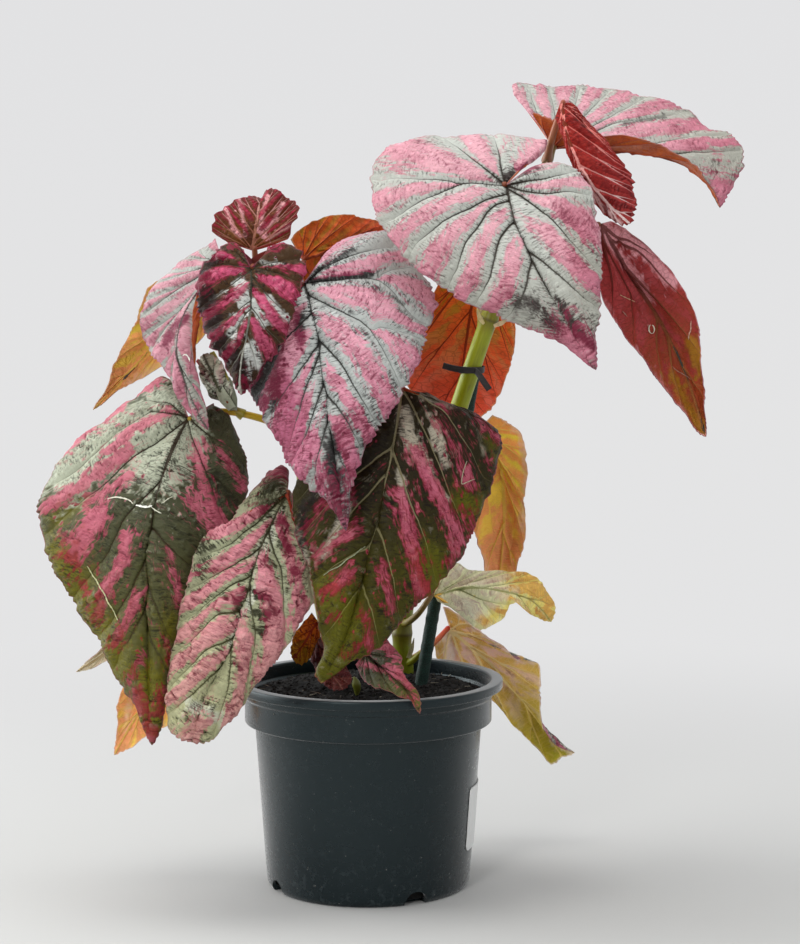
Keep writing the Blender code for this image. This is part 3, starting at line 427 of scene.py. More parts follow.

# Colours of a blade's two faces, at the petiole and at the tip. "body" lies beside the veins, "lane"
# between them, "light" and "dark" where the marks say. The dark colour also paints shade in the hollows
# and creases of the puckers, and the light colour paints highlights on their tops.
leafColours = {
    "silver": {"body": [(0.44, 0.46, 0.42), (0.36, 0.36, 0.31)], "light": [(0.58, 0.61, 0.57)] * 2,
               "lane": [(0.82, 0.40, 0.47), (0.62, 0.17, 0.26)], "dark": [(0.022, 0.012, 0.010)] * 2,
               "vein": [(0.030, 0.022, 0.015), (0.09, 0.085, 0.07)]},
    # "shaded" is the silver made darker towards the tip: painted shade on a blade that lies in shadow
    "shaded": {"body": [(0.42, 0.45, 0.43), (0.25, 0.26, 0.24)], "light": [(0.56, 0.60, 0.58)] * 2,
               "lane": [(0.82, 0.36, 0.46), (0.50, 0.10, 0.20)], "dark": [(0.010, 0.008, 0.008)] * 2,
               "vein": [(0.026, 0.024, 0.020), (0.06, 0.06, 0.055)]},
    "mossy": {"body": [(0.066, 0.070, 0.032), (0.150, 0.136, 0.006)], "light": [(0.45, 0.48, 0.36)] * 2,
              "lane": [(0.72, 0.18, 0.26), (0.38, 0.025, 0.035)], "dark": [(0.016, 0.016, 0.005)] * 2,
              "vein": [(0.036, 0.022, 0.010), (0.13, 0.11, 0.030)]},
    "cream": {"body": [(0.36, 0.38, 0.24), (0.38, 0.38, 0.21)], "light": [(0.58, 0.60, 0.48)] * 2,
              "lane": [(0.76, 0.26, 0.33), (0.72, 0.34, 0.32)], "dark": [(0.022, 0.022, 0.006)] * 2,
              "vein": [(0.045, 0.040, 0.016), (0.10, 0.10, 0.035)]},
    "olive": {"body": [(0.024, 0.018, 0.006), (0.100, 0.096, 0.005)], "light": [(0.44, 0.40, 0.31)] * 2,
              "lane": [(0.74, 0.19, 0.28), (0.46, 0.040, 0.065)], "dark": [(0.010, 0.006, 0.004)] * 2,
              "vein": [(0.24, 0.21, 0.12), (0.24, 0.23, 0.05)]},
    "crown": {"body": [(0.070, 0.036, 0.016), (0.046, 0.030, 0.016)], "light": [(0.50, 0.52, 0.49)] * 2,
              "lane": [(0.62, 0.09, 0.20), (0.56, 0.12, 0.20)], "dark": [(0.014, 0.006, 0.005)] * 2,
              "vein": [(0.05, 0.05, 0.035), (0.36, 0.36, 0.31)]},
    "upright": {"body": [(0.13, 0.048, 0.008), (0.10, 0.016, 0.010)], "light": [(0.74, 0.34, 0.36)] * 2,
                "lane": [(0.46, 0.010, 0.070), (0.44, 0.026, 0.070)], "dark": [(0.060, 0.014, 0.006)] * 2,
                "vein": [(0.34, 0.14, 0.09), (0.70, 0.38, 0.36)]},
    "young": {"body": [(0.400, 0.022, 0.016), (0.420, 0.040, 0.038)], "light": [(0.90, 0.60, 0.60)] * 2,
              "lane": [(0.540, 0.045, 0.028), (0.260, 0.014, 0.016)], "dark": [(0.030, 0.004, 0.003)] * 2,
              "vein": [(0.90, 0.30, 0.26), (0.95, 0.76, 0.74)]},
    "pale": {"body": [(0.80, 0.82, 0.54), (0.74, 0.62, 0.16)], "light": [(0.88, 0.90, 0.70)] * 2,
             "lane": [(0.88, 0.90, 0.66), (0.80, 0.46, 0.09)], "dark": [(0.48, 0.50, 0.26)] * 2,
             "vein": [(0.30, 0.34, 0.13), (0.34, 0.28, 0.07)]},
    "ash": {"body": [(0.60, 0.64, 0.52), (0.46, 0.47, 0.36)], "light": [(0.84, 0.86, 0.78)] * 2,
            "lane": [(0.74, 0.70, 0.62), (0.62, 0.44, 0.36)], "dark": [(0.014, 0.012, 0.006)] * 2,
            "vein": [(0.10, 0.11, 0.06), (0.08, 0.08, 0.05)]},
    # maroon and amber paint the two halves of a young folded leaf: the maroon half is partly painted shade,
    # the amber half partly a painted glow of light shining through it
    "maroon": {"body": [(0.060, 0.012, 0.012), (0.090, 0.018, 0.014)], "light": [(0.22, 0.09, 0.08)] * 2,
               "lane": [(0.110, 0.022, 0.028), (0.13, 0.030, 0.030)], "dark": [(0.014, 0.006, 0.006)] * 2,
               "vein": [(0.16, 0.05, 0.04), (0.18, 0.07, 0.05)]},
    "amber": {"body": [(0.56, 0.13, 0.008), (0.42, 0.22, 0.012)], "light": [(0.56, 0.36, 0.02)] * 2,
              "lane": [(0.26, 0.18, 0.010), (0.38, 0.20, 0.012)], "dark": [(0.16, 0.020, 0.010)] * 2,
              "vein": [(0.26, 0.030, 0.012), (0.22, 0.030, 0.012)]},
    "rust": {"body": [(0.360, 0.060, 0.016), (0.40, 0.090, 0.026)], "light": [(0.60, 0.26, 0.18)] * 2,
             "lane": [(0.380, 0.080, 0.014), (0.42, 0.100, 0.030)], "dark": [(0.090, 0.014, 0.006)] * 2,
             "vein": [(0.20, 0.026, 0.012), (0.30, 0.08, 0.04)]},
    "wine": {"body": [(0.350, 0.038, 0.038), (0.420, 0.080, 0.026)], "light": [(0.84, 0.40, 0.44)] * 2,
             "lane": [(0.430, 0.066, 0.072), (0.370, 0.046, 0.036)], "dark": [(0.120, 0.012, 0.010)] * 2,
             "vein": [(0.100, 0.014, 0.008), (0.46, 0.20, 0.06)]},
    # flame, honey and peach are the undersides' orange made brighter than the blades' own colour: painted
    # glow of light shining through them
    "flame": {"body": [(0.900, 0.165, 0.022), (0.960, 0.125, 0.060)], "light": [(0.84, 0.46, 0.18)] * 2,
              "lane": [(0.560, 0.260, 0.014), (1.000, 0.190, 0.120)], "dark": [(0.250, 0.022, 0.008)] * 2,
              "vein": [(0.240, 0.030, 0.008), (0.250, 0.026, 0.014)]},
    "honey": {"body": [(1.000, 0.400, 0.100), (1.000, 0.420, 0.180)], "light": [(0.92, 0.58, 0.40)] * 2,
              "lane": [(0.940, 0.680, 0.070), (0.960, 0.620, 0.120)], "dark": [(0.440, 0.055, 0.020)] * 2,
              "vein": [(0.900, 0.640, 0.110), (0.860, 0.560, 0.120)]},
    "peach": {"body": [(0.880, 0.520, 0.130), (0.520, 0.420, 0.030)], "light": [(1.00, 0.82, 0.72)] * 2,
              "lane": [(1.000, 0.620, 0.500), (0.460, 0.400, 0.030)], "dark": [(0.300, 0.090, 0.012)] * 2,
              "vein": [(0.960, 0.740, 0.360), (0.800, 0.620, 0.160)]},
    "straw": {"body": [(0.64, 0.60, 0.42), (0.62, 0.54, 0.36)], "light": [(0.76, 0.72, 0.56)] * 2,
              "lane": [(0.70, 0.60, 0.44), (0.64, 0.48, 0.34)], "dark": [(0.34, 0.24, 0.11)] * 2,
              "vein": [(0.44, 0.36, 0.18), (0.40, 0.30, 0.14)]},
}

# How each blade is dressed. "veins" are the side veins of each half from the tip round to the lobe, as
# pixel lines or as how many, and a fork leaves the vein before it. "pink" is how much of a lane is
# filled, "ladder" the length and depth of the puckers across it in mm, "marks" are patches as (what,
# strength, pixel radius, line), and "tooth" is how deep the margin is cut in mm. "light" marks are the
# blade's pale streaks and silver, with painted sheen on some blades, and "dark" marks its dark patches,
# with painted shade where it lies in shadow. "pits" is how much the puckers and the painted shade in the
# hollows between them show, and "dim" darkens the paint of a blade in the shade.
leafLooks = {
    "leaf_top_front": {
        "upper": "silver", "under": "rust", "slot": "leaf_silver", "pits": 0.50,
        "pink": 0.58, "ladder": (4.5, 0.15), "tooth": 0.9, "quilt": 0.75, "veinWidth": 0.62,
        "veins": {
            "left": [[(533, 254), (527, 282), (521, 301), (505, 320)],
                     [(514, 221), (502, 234), (498, 248), (489, 282), (475, 305)],
                     [(506, 186), (489, 210), (475, 231), (463, 245), (459, 264), (447, 290)],
                     [(506, 186), (478, 205), (446, 219), (414, 245), (408, 262)],
                     [(506, 186), (467, 182), (419, 202), (384, 225)],
                     ("fork", [(467, 182), (440, 180), (414, 178), (374, 180)]),
                     [(506, 186), (489, 172), (467, 154), (448, 140)],
                     [(506, 186), (502, 172), (499, 154), (495, 136)]],
            "right": [[(533, 254), (558, 274), (582, 296), (600, 310)],
                      [(506, 188), (523, 197), (548, 215), (569, 239), (601, 275)],
                      [(506, 188), (542, 194), (569, 191), (592, 196)],
                      [(506, 186), (521, 182), (548, 178), (574, 172)]]},
        "marks": [("dark", 0.55, 6, [(519, 305)]), ("dark", 0.5, 5, [(530, 297), (536, 306)]),
                  ("dark", 0.5, 8, [(546, 322), (556, 330)]), ("dark", 0.7, 3, [(558, 298), (590, 348)]),
                  ("dark", 0.35, 10, [(556, 215), (580, 228), (590, 240)]),
                  ("dark", 0.35, 16, [(520, 305), (590, 330)]),
                  ("dark", 0.25, 10, [(570, 245), (584, 262)]),
                  ("dark", 0.9, 6, [(506, 180), (516, 172), (534, 167)]),
                  ("lane", 0.55, 9, [(556, 204), (586, 232)]), ("lane", 0.5, 8, [(548, 232), (598, 286)]),
                  ("lane", 0.45, 9, [(516, 330), (560, 342), (590, 350)]),
                  ("tip", 0.8, 14, [(572, 212), (596, 290)]),
                  ("lane", 0.4, 8, [(470, 138), (477, 160), (492, 172)]),
                  ("lane", 0.4, 6, [(503, 138), (505, 152)]), ("lane", 0.35, 7, [(380, 172), (470, 172)]),
                  ("lane", -0.5, 12, [(506, 190), (520, 222), (540, 250)]),
                  ("light", 0.4, 10, [(520, 200), (545, 240)])]},
    "leaf_top_back": {
        "upper": "silver", "under": "rust", "slot": "leaf_silver", "pits": 0.40,
        "pink": 0.66, "ladder": (4.0, 0.25), "tooth": 1.0, "quilt": 0.6, "veinWidth": 0.40,
        "veins": {
            "left": [[(690, 152), (718, 152), (740, 150)], [(640, 146), (690, 136), (730, 135)],
                     [(553, 147), (620, 122), (697, 112)], [(553, 147), (600, 122), (650, 96)],
                     [(553, 147), (588, 112), (612, 88)], [(553, 147), (574, 110), (580, 86)],
                     [(553, 147), (555, 112), (548, 88)], [(553, 147), (540, 120), (530, 92)]],
            "right": 6},
        "marks": [("dark", 0.6, 3, [(665, 118), (640, 121), (622, 126)]), ("dark", 0.5, 3, [(712, 172)]),
                  ("dark", 0.5, 4, [(684, 106), (694, 112)]), ("dark", 0.4, 3, [(720, 162), (712, 160)]),
                  ("lane", 0.45, 5, [(670, 142), (720, 156)])]},
    "leaf_top_young": {
        "upper": "young", "under": "rust", "slot": "leaf_dark", "pits": 0.30, "dim": 0.84,
        "pink": 0.5, "ladder": (2.4, 0.5),
        "tooth": 1.7, "quilt": 1.3, "veinWidth": 0.80, "veins": {"left": 7, "right": 11},
        "marks": [("light", 0.8, 4, [(590, 190), (604, 208), (620, 222)]),
                  ("dark", 0.5, 9, [(575, 115), (588, 135)])]},
    "leaf_right_hanging": {
        "upper": "silver", "under": "wine", "slot": "leaf_under",
        "pink": 0.5, "ladder": (7.0, 0.15), "tooth": 0.7, "quilt": 0.7, "veinWidth": 0.75,
        "veins": {
            "left": [[(668, 341), (672, 372), (680, 400)], [(657, 306), (656, 350), (664, 388)],
                     [(601, 236), (630, 290), (634, 350)], [(601, 236), (612, 280), (612, 318)]],
            "right": [[(668, 341), (688, 372), (701, 392)], [(650, 292), (680, 326), (699, 352)],
                      [(601, 236), (640, 252), (666, 282), (686, 300)],
                      [(601, 234), (628, 240), (650, 252)]]},
        # the first light mark, along the top lobe, is painted sheen; the others are pale streaks beside the
        # veins
        "marks": [("light", 1.0, 8, [(601, 226), (622, 236), (650, 256), (672, 282)]),
                  ("light", 0.6, 5, [(606, 240), (632, 270), (650, 300)]),
                  ("light", 0.5, 5, [(636, 348), (660, 384), (684, 412)]),
                  ("light", 0.4, 4, [(606, 300), (616, 322)]),
                  ("vein", 0.9, 8, [(690, 342), (702, 372)]), ("vein", 0.8, 6, [(672, 375), (704, 434)]),
                  ("dark", 0.35, 14, [(640, 280), (656, 320), (664, 350)])]},
    "leaf_behind_stake": {
        "upper": "silver", "under": "flame", "slot": "leaf_under",
        "pink": 0.55, "ladder": (8.0, 0.2),
        "tooth": 0.8, "quilt": 0.8, "veinWidth": 0.5, "veins": {"left": 5, "right": 5},
        "marks": [("light", 0.5, 3, [(512, 318), (516, 360), (504, 392)]),
                  ("lane", 0.5, 16, [(440, 345), (420, 370)])]},
    "leaf_behind_middle": {
        "upper": "silver", "under": "flame", "slot": "leaf_under", "dim": 0.62, "pink": 0.5,
        "ladder": (8.0, 0.2), "tooth": 0.7, "quilt": 0.8, "veinWidth": 0.4, "veins": {"left": 4, "right": 6},
        "marks": [("dark", 0.5, 14, [(330, 240), (370, 232)])]},
    "leaf_crown_upright": {
        "upper": "upright", "under": "rust", "slot": "leaf_dark", "pits": 0.45,
        "pink": 0.45, "ladder": (3.0, 0.3),
        "tooth": 1.2, "quilt": 1.0, "veinWidth": 0.60, "veins": {"left": 7, "right": 8},
        "marks": [("light", 0.8, 3, [(240, 236), (224, 208)]), ("light", 0.8, 3, [(246, 230), (238, 198)]),
                  ("light", 0.8, 3, [(258, 232), (268, 196)]), ("light", 0.8, 3, [(262, 236), (284, 204)]),
                  ("light", 0.7, 3, [(266, 240), (292, 224)]), ("dark", 0.6, 7, [(250, 222), (250, 248)])]},
    "leaf_crown_front": {
        "upper": "crown", "under": "rust", "slot": "leaf_silver", "pits": 0.80,
        "pink": 0.55, "ladder": (6.0, 0.7), "tooth": 1.6, "quilt": 1.3, "veinWidth": 0.40,
        "veins": {
            "left": [[(247, 340), (236, 360), (226, 376)], [(250, 308), (232, 335), (215, 356)],
                     [(251, 300), (228, 318), (206, 330)], [(251, 270), (224, 290), (203, 306)],
                     [(251, 268), (226, 264), (206, 268)], [(251, 266), (236, 252), (226, 246)]],
            "right": [[(248, 336), (256, 362), (258, 374)], [(251, 306), (266, 328), (280, 342)],
                      [(251, 275), (272, 300), (292, 318)], [(251, 268), (276, 272), (300, 284)],
                      [(251, 267), (276, 262), (303, 258)]]},
        "marks": [("light", 1.2, 7, [(240, 284), (243, 304)]), ("light", 1.1, 6, [(252, 302), (262, 322)]),
                  ("light", 0.9, 6, [(238, 318), (232, 334)]), ("light", 0.9, 5, [(268, 298), (284, 320)]),
                  ("light", 0.9, 5, [(252, 345), (258, 366)]), ("light", 0.6, 4, [(262, 262), (284, 266)]),
                  ("lane", 0.7, 6, [(262, 278), (290, 286)]), ("lane", 0.6, 5, [(262, 300), (276, 324)]),
                  ("lane", 0.6, 5, [(254, 322), (264, 346)]), ("lane", 0.8, 6, [(218, 272), (242, 270)]),
                  ("dark", 1.0, 10, [(204, 288), (212, 314)]), ("dark", 0.9, 10, [(214, 328), (224, 354)]),
                  ("dark", 0.9, 6, [(242, 366), (244, 392)]), ("dark", 0.8, 9, [(204, 274), (214, 258)]),
                  ("dark", 0.5, 8, [(232, 345), (238, 362)]), ("light", 0.9, 4, [(246, 350), (248, 390)]),
                  ("light", 0.7, 4, [(236, 338), (230, 362)]), ("light", 0.6, 3, [(210, 300), (226, 292)]),
                  ("light", 0.6, 3, [(210, 340), (222, 330)])]},
    "leaf_left_folded": {
        "upper": "silver", "under": "rust", "slot": "leaf_silver", "pits": 0.35, "dim": 0.84,
        "pink": 0.62, "ladder": (5.0, 0.25),
        "tooth": 0.7, "quilt": 0.8, "veinWidth": 0.45, "veins": {"left": 6, "right": 4},
        "marks": [("dark", 0.9, 4, [(188, 318), (174, 330), (167, 345)]), ("dark", 0.6, 2, [(155, 332)]),
                  ("lane", 0.6, 6, [(172, 345), (178, 380), (192, 410)]),
                  ("lane", 0.5, 5, [(150, 340), (162, 358)])]},
    "leaf_left_back": {
        "upper": "silver", "under": "honey", "slot": "leaf_under", "dim": 0.76,
        "pink": 0.5, "ladder": (8.0, 0.2),
        "tooth": 0.7, "quilt": 0.6, "veinWidth": 0.5, "veins": {"left": 4, "right": 4},
        "marks": [("light", 0.6, 8, [(130, 384), (180, 352)]), ("lane", 0.5, 8, [(138, 330), (160, 330)])]},
    "leaf_left_large": {
        "upper": "mossy", "under": "rust", "slot": "leaf_dark", "pits": 0.60, "dim": 0.87,
        "pink": 0.48, "ladder": (9.0, 0.6), "tooth": 0.9, "quilt": 1.0, "veinWidth": 0.55,
        "veins": {
            "left": [[(151, 596), (138, 625), (122, 649), (112, 672)],
                     [(147, 558), (127, 596), (116, 617), (95, 640)],
                     [(149, 494), (127, 513), (108, 553), (70, 600)],
                     [(183, 415), (165, 438), (130, 459), (100, 489), (84, 499), (55, 526)],
                     [(183, 415), (149, 411), (116, 435), (76, 472), (45, 490)],
                     [(183, 415), (170, 403), (141, 400), (120, 410)]],
            "right": [[(151, 641), (162, 660), (172, 680)], [(153, 601), (166, 631), (178, 650)],
                      [(149, 526), (181, 558), (205, 575)],
                      [(183, 415), (202, 459), (213, 489), (221, 518), (232, 530)],
                      ("fork", [(204, 466), (234, 494), (246, 500)]),
                      [(183, 415), (213, 438), (232, 448), (247, 470)]]},
        "marks": [("light", 1.0, 34, [(70, 478), (110, 440), (165, 415), (176, 440), (150, 465)]),
                  ("light", 0.6, 14, [(176, 440), (194, 440)]), ("light", -0.8, 14, [(222, 412), (238, 450)]),
                  ("light", 0.5, 12, [(170, 470), (176, 480)]),
                  ("dark", 0.5, 8, [(172, 468), (186, 478)]), ("dark", 0.5, 4, [(144, 454)]),
                  # the dark mark on the right half is painted shade
                  ("dark", 0.6, 10, [(216, 475), (226, 500)]), ("dark", 0.4, 10, [(116, 540), (100, 560)]),
                  ("lane", 1.0, 5, [(110, 452), (130, 432), (170, 412)]),
                  ("lane", 1.0, 7, [(50, 508), (100, 474), (130, 452)]),
                  ("lane", 1.0, 6, [(62, 456), (90, 430), (120, 410)]),
                  ("lane", 0.9, 5, [(106, 404), (160, 384)]),
                  ("lane", 0.8, 6, [(88, 502), (130, 478)]), ("lane", 1.0, 11, [(76, 556), (100, 515)]),
                  ("lane", 0.8, 8, [(196, 446), (202, 485), (224, 530)]),
                  ("lane", 0.7, 8, [(190, 500), (216, 526)]), ("lane", 0.5, 7, [(218, 450), (240, 488)]),
                  ("lane", 0.8, 7, [(128, 536), (124, 562), (106, 590)]),
                  ("lane", 0.7, 7, [(138, 594), (118, 645)]), ("lane", 0.7, 5, [(168, 545), (177, 600)]),
                  ("lane", 0.6, 8, [(104, 606), (98, 622)]), ("lane", 0.6, 6, [(78, 578), (88, 592)]),
                  ("lane", 0.7, 6, [(142, 655), (130, 682)]), ("lane", 0.6, 4, [(165, 640), (168, 664)]),
                  ("lane", 0.8, 7, [(138, 690), (142, 712)]), ("lane", 0.8, 6, [(162, 690), (158, 712)]),
                  ("lane", 0.8, 6, [(150, 725), (152, 742)]), ("lane", 0.5, 5, [(60, 530), (70, 540)]),
                  # the olive and red tip colour on the lower left is painted glow of light shining through
                  # the blade
                  ("tip", 0.9, 16, [(60, 552), (86, 600), (112, 660)]),
                  ("tip", 0.7, 8, [(56, 520), (84, 500)]),
                  ("tip", 0.9, 12, [(150, 680), (150, 720)]), ("tip", 0.5, 8, [(170, 620), (172, 660)])]},
    "leaf_left_crumpled": {
        "upper": "ash", "under": "maroon", "slot": "leaf_silver", "pink": 0.5, "ladder": (5.0, 1.2),
        "tooth": 1.2, "quilt": 1.6, "veinWidth": 0.4, "veins": {"left": 3, "right": 3},
        "marks": [("dark", 0.9, 4, [(219, 392)]), ("dark", 0.8, 3, [(206, 410)])]},
    "leaf_low_middle": {
        "upper": "cream", "under": "rust", "slot": "leaf_dark", "pits": 1.0,
        "pink": 0.56, "ladder": (6.5, 0.75), "tooth": 1.0, "quilt": 1.1, "veinWidth": 0.50,
        "veins": {
            "left": [[(221, 668), (194, 692), (172, 710)], [(234, 639), (207, 649), (181, 676), (168, 690)],
                     [(248, 609), (216, 615), (191, 641), (173, 655)],
                     [(253, 574), (224, 590), (197, 612), (180, 622)],
                     [(262, 548), (232, 566), (207, 580), (186, 592)],
                     [(286, 494), (256, 524), (229, 545), (196, 560)],
                     [(286, 494), (262, 504), (226, 524)]],
            "right": [[(232, 645), (228, 690), (212, 738)], [(250, 600), (256, 640), (246, 690)],
                      [(269, 537), (282, 572), (286, 640)],
                      [(286, 494), (298, 530), (306, 560), (312, 596)],
                      [(286, 494), (296, 512), (304, 546)]]},
        "marks": [("light", 0.6, 14, [(276, 520), (262, 560), (262, 590)]),
                  ("light", 0.4, 8, [(290, 590), (282, 620)]),
                  ("dark", 1.1, 5, [(278, 524), (284, 528)]), ("dark", 1.1, 5, [(280, 545), (287, 550)]),
                  ("dark", 1.0, 6, [(294, 572)]), ("dark", 1.1, 4, [(258, 596), (268, 600)]),
                  ("dark", 1.0, 4, [(256, 612), (266, 616)]), ("dark", 0.9, 4, [(254, 628), (264, 632)]),
                  ("dark", 0.8, 4, [(243, 590), (236, 612)]), ("dark", 0.8, 4, [(266, 560), (274, 566)]),
                  ("lane", 0.9, 7, [(272, 590), (282, 625), (276, 662), (262, 672)]),
                  ("lane", 0.6, 6, [(250, 640), (240, 690), (226, 722)]),
                  ("lane", 0.5, 5, [(186, 640), (232, 612)]), ("lane", 0.6, 6, [(180, 662), (220, 636)]),
                  ("lane", 0.6, 6, [(192, 600), (246, 550)]), ("lane", 0.5, 5, [(176, 702), (206, 672)]),
                  ("lane", 0.5, 4, [(192, 734), (214, 718)]), ("lane", 0.6, 5, [(214, 534), (262, 506)]),
                  ("lane", 0.5, 5, [(308, 600), (300, 618)]), ("light", 0.7, 12, [(196, 706), (226, 722)]),
                  ("light", 0.6, 6, [(250, 600), (228, 650)]),
                  ("dark", 0.75, 13, [(262, 506), (276, 484), (286, 470)]), ("tip", 0.6, 10, [(262, 500)]),
                  ("dark", 0.55, 10, [(206, 540), (200, 568)]),
                  ("lane", -0.5, 12, [(206, 540), (200, 568)])]},
    "leaf_front_right": {
        "upper": "olive", "under": "rust", "slot": "leaf_dark", "pits": 0.45, "dim": 0.92,
        "pink": 0.25, "ladder": (8.0, 0.35), "tooth": 0.9, "quilt": 0.9, "veinWidth": 0.62,
        "veins": {
            "left": [[(355, 593), (340, 616), (324, 636)], [(366, 548), (340, 562), (316, 580)],
                     [(386, 474), (345, 520), (306, 566)], [(393, 446), (350, 480), (300, 536)],
                     [(403, 388), (350, 440), (298, 500)], [(403, 388), (360, 416), (320, 450)]],
            "right": [[(362, 584), (372, 612), (378, 642)], [(374, 520), (385, 546), (392, 572), (400, 620)],
                      [(395, 456), (411, 505), (426, 541), (437, 587)],
                      [(403, 388), (429, 440), (447, 486), (458, 514), (471, 538)],
                      [(403, 388), (444, 410), (472, 453), (484, 480), (492, 482)],
                      [(403, 388), (444, 401), (490, 428), (498, 432)]]},
        "marks": [("lane", 1.0, 9, [(414, 453), (440, 500), (460, 541)]),
                  ("lane", 1.0, 10, [(401, 495), (412, 545), (420, 590)]),
                  ("lane", 0.45, 14, [(438, 408), (452, 440), (463, 480)]),
                  ("lane", 0.9, 9, [(334, 590), (348, 572)]), ("lane", 0.85, 7, [(383, 566), (391, 606)]),
                  ("lane", 0.8, 6, [(364, 612), (370, 645)]), ("lane", 0.7, 5, [(330, 622), (338, 612)]),
                  ("lane", 0.6, 6, [(348, 655), (356, 645)]), ("lane", 0.6, 7, [(452, 548), (448, 566)]),
                  ("lane", 0.5, 7, [(396, 640), (412, 612)]), ("lane", 0.7, 5, [(476, 420), (498, 440)]),
                  ("lane", 0.8, 8, [(318, 556), (354, 528)]), ("lane", 0.7, 7, [(306, 530), (330, 500)]),
                  ("lane", 0.6, 7, [(468, 510), (474, 530)]), ("lane", 0.5, 7, [(356, 510), (352, 490)]),
                  ("lane", 0.5, 5, [(466, 470), (470, 488)]), ("lane", 0.5, 5, [(484, 460), (492, 470)]),
                  # the light marks beside the midrib are painted sheen over the blade's own silver
                  ("light", 0.85, 9, [(404, 412), (410, 446), (418, 460)]),
                  ("light", 0.6, 6, [(428, 415), (440, 440)]), ("light", 0.6, 4, [(420, 396), (450, 408)]),
                  ("light", 0.7, 4, [(412, 440), (432, 476), (448, 500)]),
                  ("light", 0.7, 5, [(432, 432), (446, 466)]), ("light", 0.6, 4, [(398, 470), (404, 520)]),
                  ("light", 0.8, 7, [(322, 556), (346, 515), (350, 500)]),
                  ("light", 0.7, 6, [(306, 560), (300, 530)]), ("light", 0.5, 5, [(476, 430), (482, 456)]),
                  ("light", 0.45, 4, [(402, 480), (410, 500)]),
                  ("dark", 0.8, 7, [(300, 556), (306, 510), (318, 495)]),
                  ("dark", 0.5, 18, [(394, 400), (372, 450), (360, 500)]),
                  ("dark", 0.4, 8, [(420, 430), (440, 470)]),
                  ("tip", 1.0, 16, [(425, 560), (436, 584)]), ("tip", 1.0, 12, [(462, 500), (480, 510)]),
                  ("tip", 0.9, 14, [(330, 590), (350, 620), (336, 660)]), ("tip", 1.0, 8, [(324, 672)]),
                  ("tip", 0.7, 6, [(486, 440), (494, 456)])]},
    "leaf_center_large": {
        "upper": "shaded", "under": "rust", "slot": "leaf_dark", "pits": 0.80,
        "pink": 0.60, "ladder": (4.5, 0.22), "tooth": 1.3, "quilt": 0.9, "veinWidth": 0.55,
        "veins": {
            "left": [[(327, 425), (318, 455), (312, 484)], [(322, 389), (308, 430), (292, 462)],
                     [(315, 363), (304, 395), (288, 448)], [(318, 345), (286, 390), (266, 420)],
                     [(315, 310), (280, 345), (256, 396)], [(306, 285), (284, 312), (252, 356)],
                     [(304, 283), (292, 292), (272, 312)]],
            "right": [[(330, 440), (342, 462), (354, 484)], [(322, 389), (341, 412), (358, 440), (363, 452)],
                      [(319, 340), (341, 363), (354, 386), (371, 414), (380, 428)],
                      [(315, 299), (341, 311), (366, 324), (380, 345), (393, 368), (403, 392)],
                      ("fork", [(366, 324), (400, 331), (425, 340)]),
                      [(306, 283), (341, 279), (371, 278), (387, 283), (398, 299), (410, 315), (431, 328)],
                      ("fork", [(371, 278), (396, 269), (421, 267), (432, 284)]),
                      [(306, 282), (322, 269), (352, 255), (375, 249), (398, 247)]]},
        # the dark marks and the tip mark on the left half are mostly painted shade, over the left half and in
        # wedges beside the upper veins
        "marks": [("dark", 1.0, 12, [(258, 352), (262, 396)]), ("dark", 0.9, 6, [(276, 340), (276, 400)]),
                  ("dark", 0.9, 6, [(298, 318), (302, 342)]), ("dark", 0.7, 7, [(264, 330), (280, 318)]),
                  ("dark", 0.7, 4, [(328, 446), (340, 515)]), ("dark", 0.5, 5, [(334, 440), (340, 452)]),
                  ("dark", 0.9, 3.5, [(312, 282), (345, 277), (372, 276)]),
                  ("dark", 0.7, 3, [(304, 276), (330, 264), (354, 250)]), ("dark", 0.6, 4, [(376, 290)]),
                  ("dark", 0.6, 3, [(392, 298), (404, 304)]), ("dark", 0.5, 3, [(362, 330), (374, 345)]),
                  ("dark", 0.40, 20, [(330, 470), (350, 420)]), ("dark", 0.6, 12, [(336, 480), (344, 505)]),
                  ("dark", 0.40, 10, [(262, 400), (284, 450)]), ("dark", 0.6, 5, [(252, 330), (262, 348)]),
                  ("tip", 1.0, 16, [(264, 350), (286, 400), (292, 430)]),
                  ("dark", 0.25, 12, [(390, 380), (372, 420)]),
                  ("lane", 1.0, 8, [(290, 326), (286, 386)]), ("lane", 1.0, 9, [(284, 392), (290, 455)]),
                  ("lane", 0.7, 6, [(303, 396), (300, 460)]), ("lane", 0.8, 7, [(316, 440), (322, 490)]),
                  ("lane", 0.8, 6, [(346, 440), (350, 486)]), ("lane", 0.6, 6, [(342, 418), (350, 428)]),
                  ("lane", -0.6, 9, [(308, 296), (318, 340), (320, 400), (330, 440)]),
                  ("light", 0.7, 8, [(306, 298), (316, 330)]), ("light", 0.5, 9, [(312, 376), (316, 420)]),
                  ("light", 0.4, 8, [(334, 312), (350, 340)])]},
    "leaf_right_back": {
        "upper": "silver", "under": "honey", "slot": "leaf_under",
        "pink": 0.5, "ladder": (8.0, 0.2),
        "tooth": 0.7, "quilt": 0.7, "veinWidth": 0.6, "veins": {"left": 4, "right": 5},
        "marks": [("light", 0.7, 5, [(506, 414), (524, 440), (526, 480), (522, 530)]),
                  ("light", 0.6, 4, [(478, 545), (488, 572)]),
                  ("lane", 0.5, 8, [(492, 450), (498, 500)])]},
    "leaf_pale_twisted": {
        "upper": "pale", "under": "honey", "slot": "leaf_silver", "pits": 0.15,
        "pink": 0.55, "ladder": (5.0, 0.35),
        "tooth": 0.6, "quilt": 1.0, "veinWidth": 0.45, "veins": {"left": 4, "right": 5},
        "marks": [("lane", 0.7, 8, [(526, 582), (548, 600), (546, 618)]),
                  ("tip", 1.0, 8, [(520, 580), (550, 600), (548, 618)]),
                  ("tip", 0.9, 6, [(484, 622), (510, 608)])]},
    "leaf_right_low": {
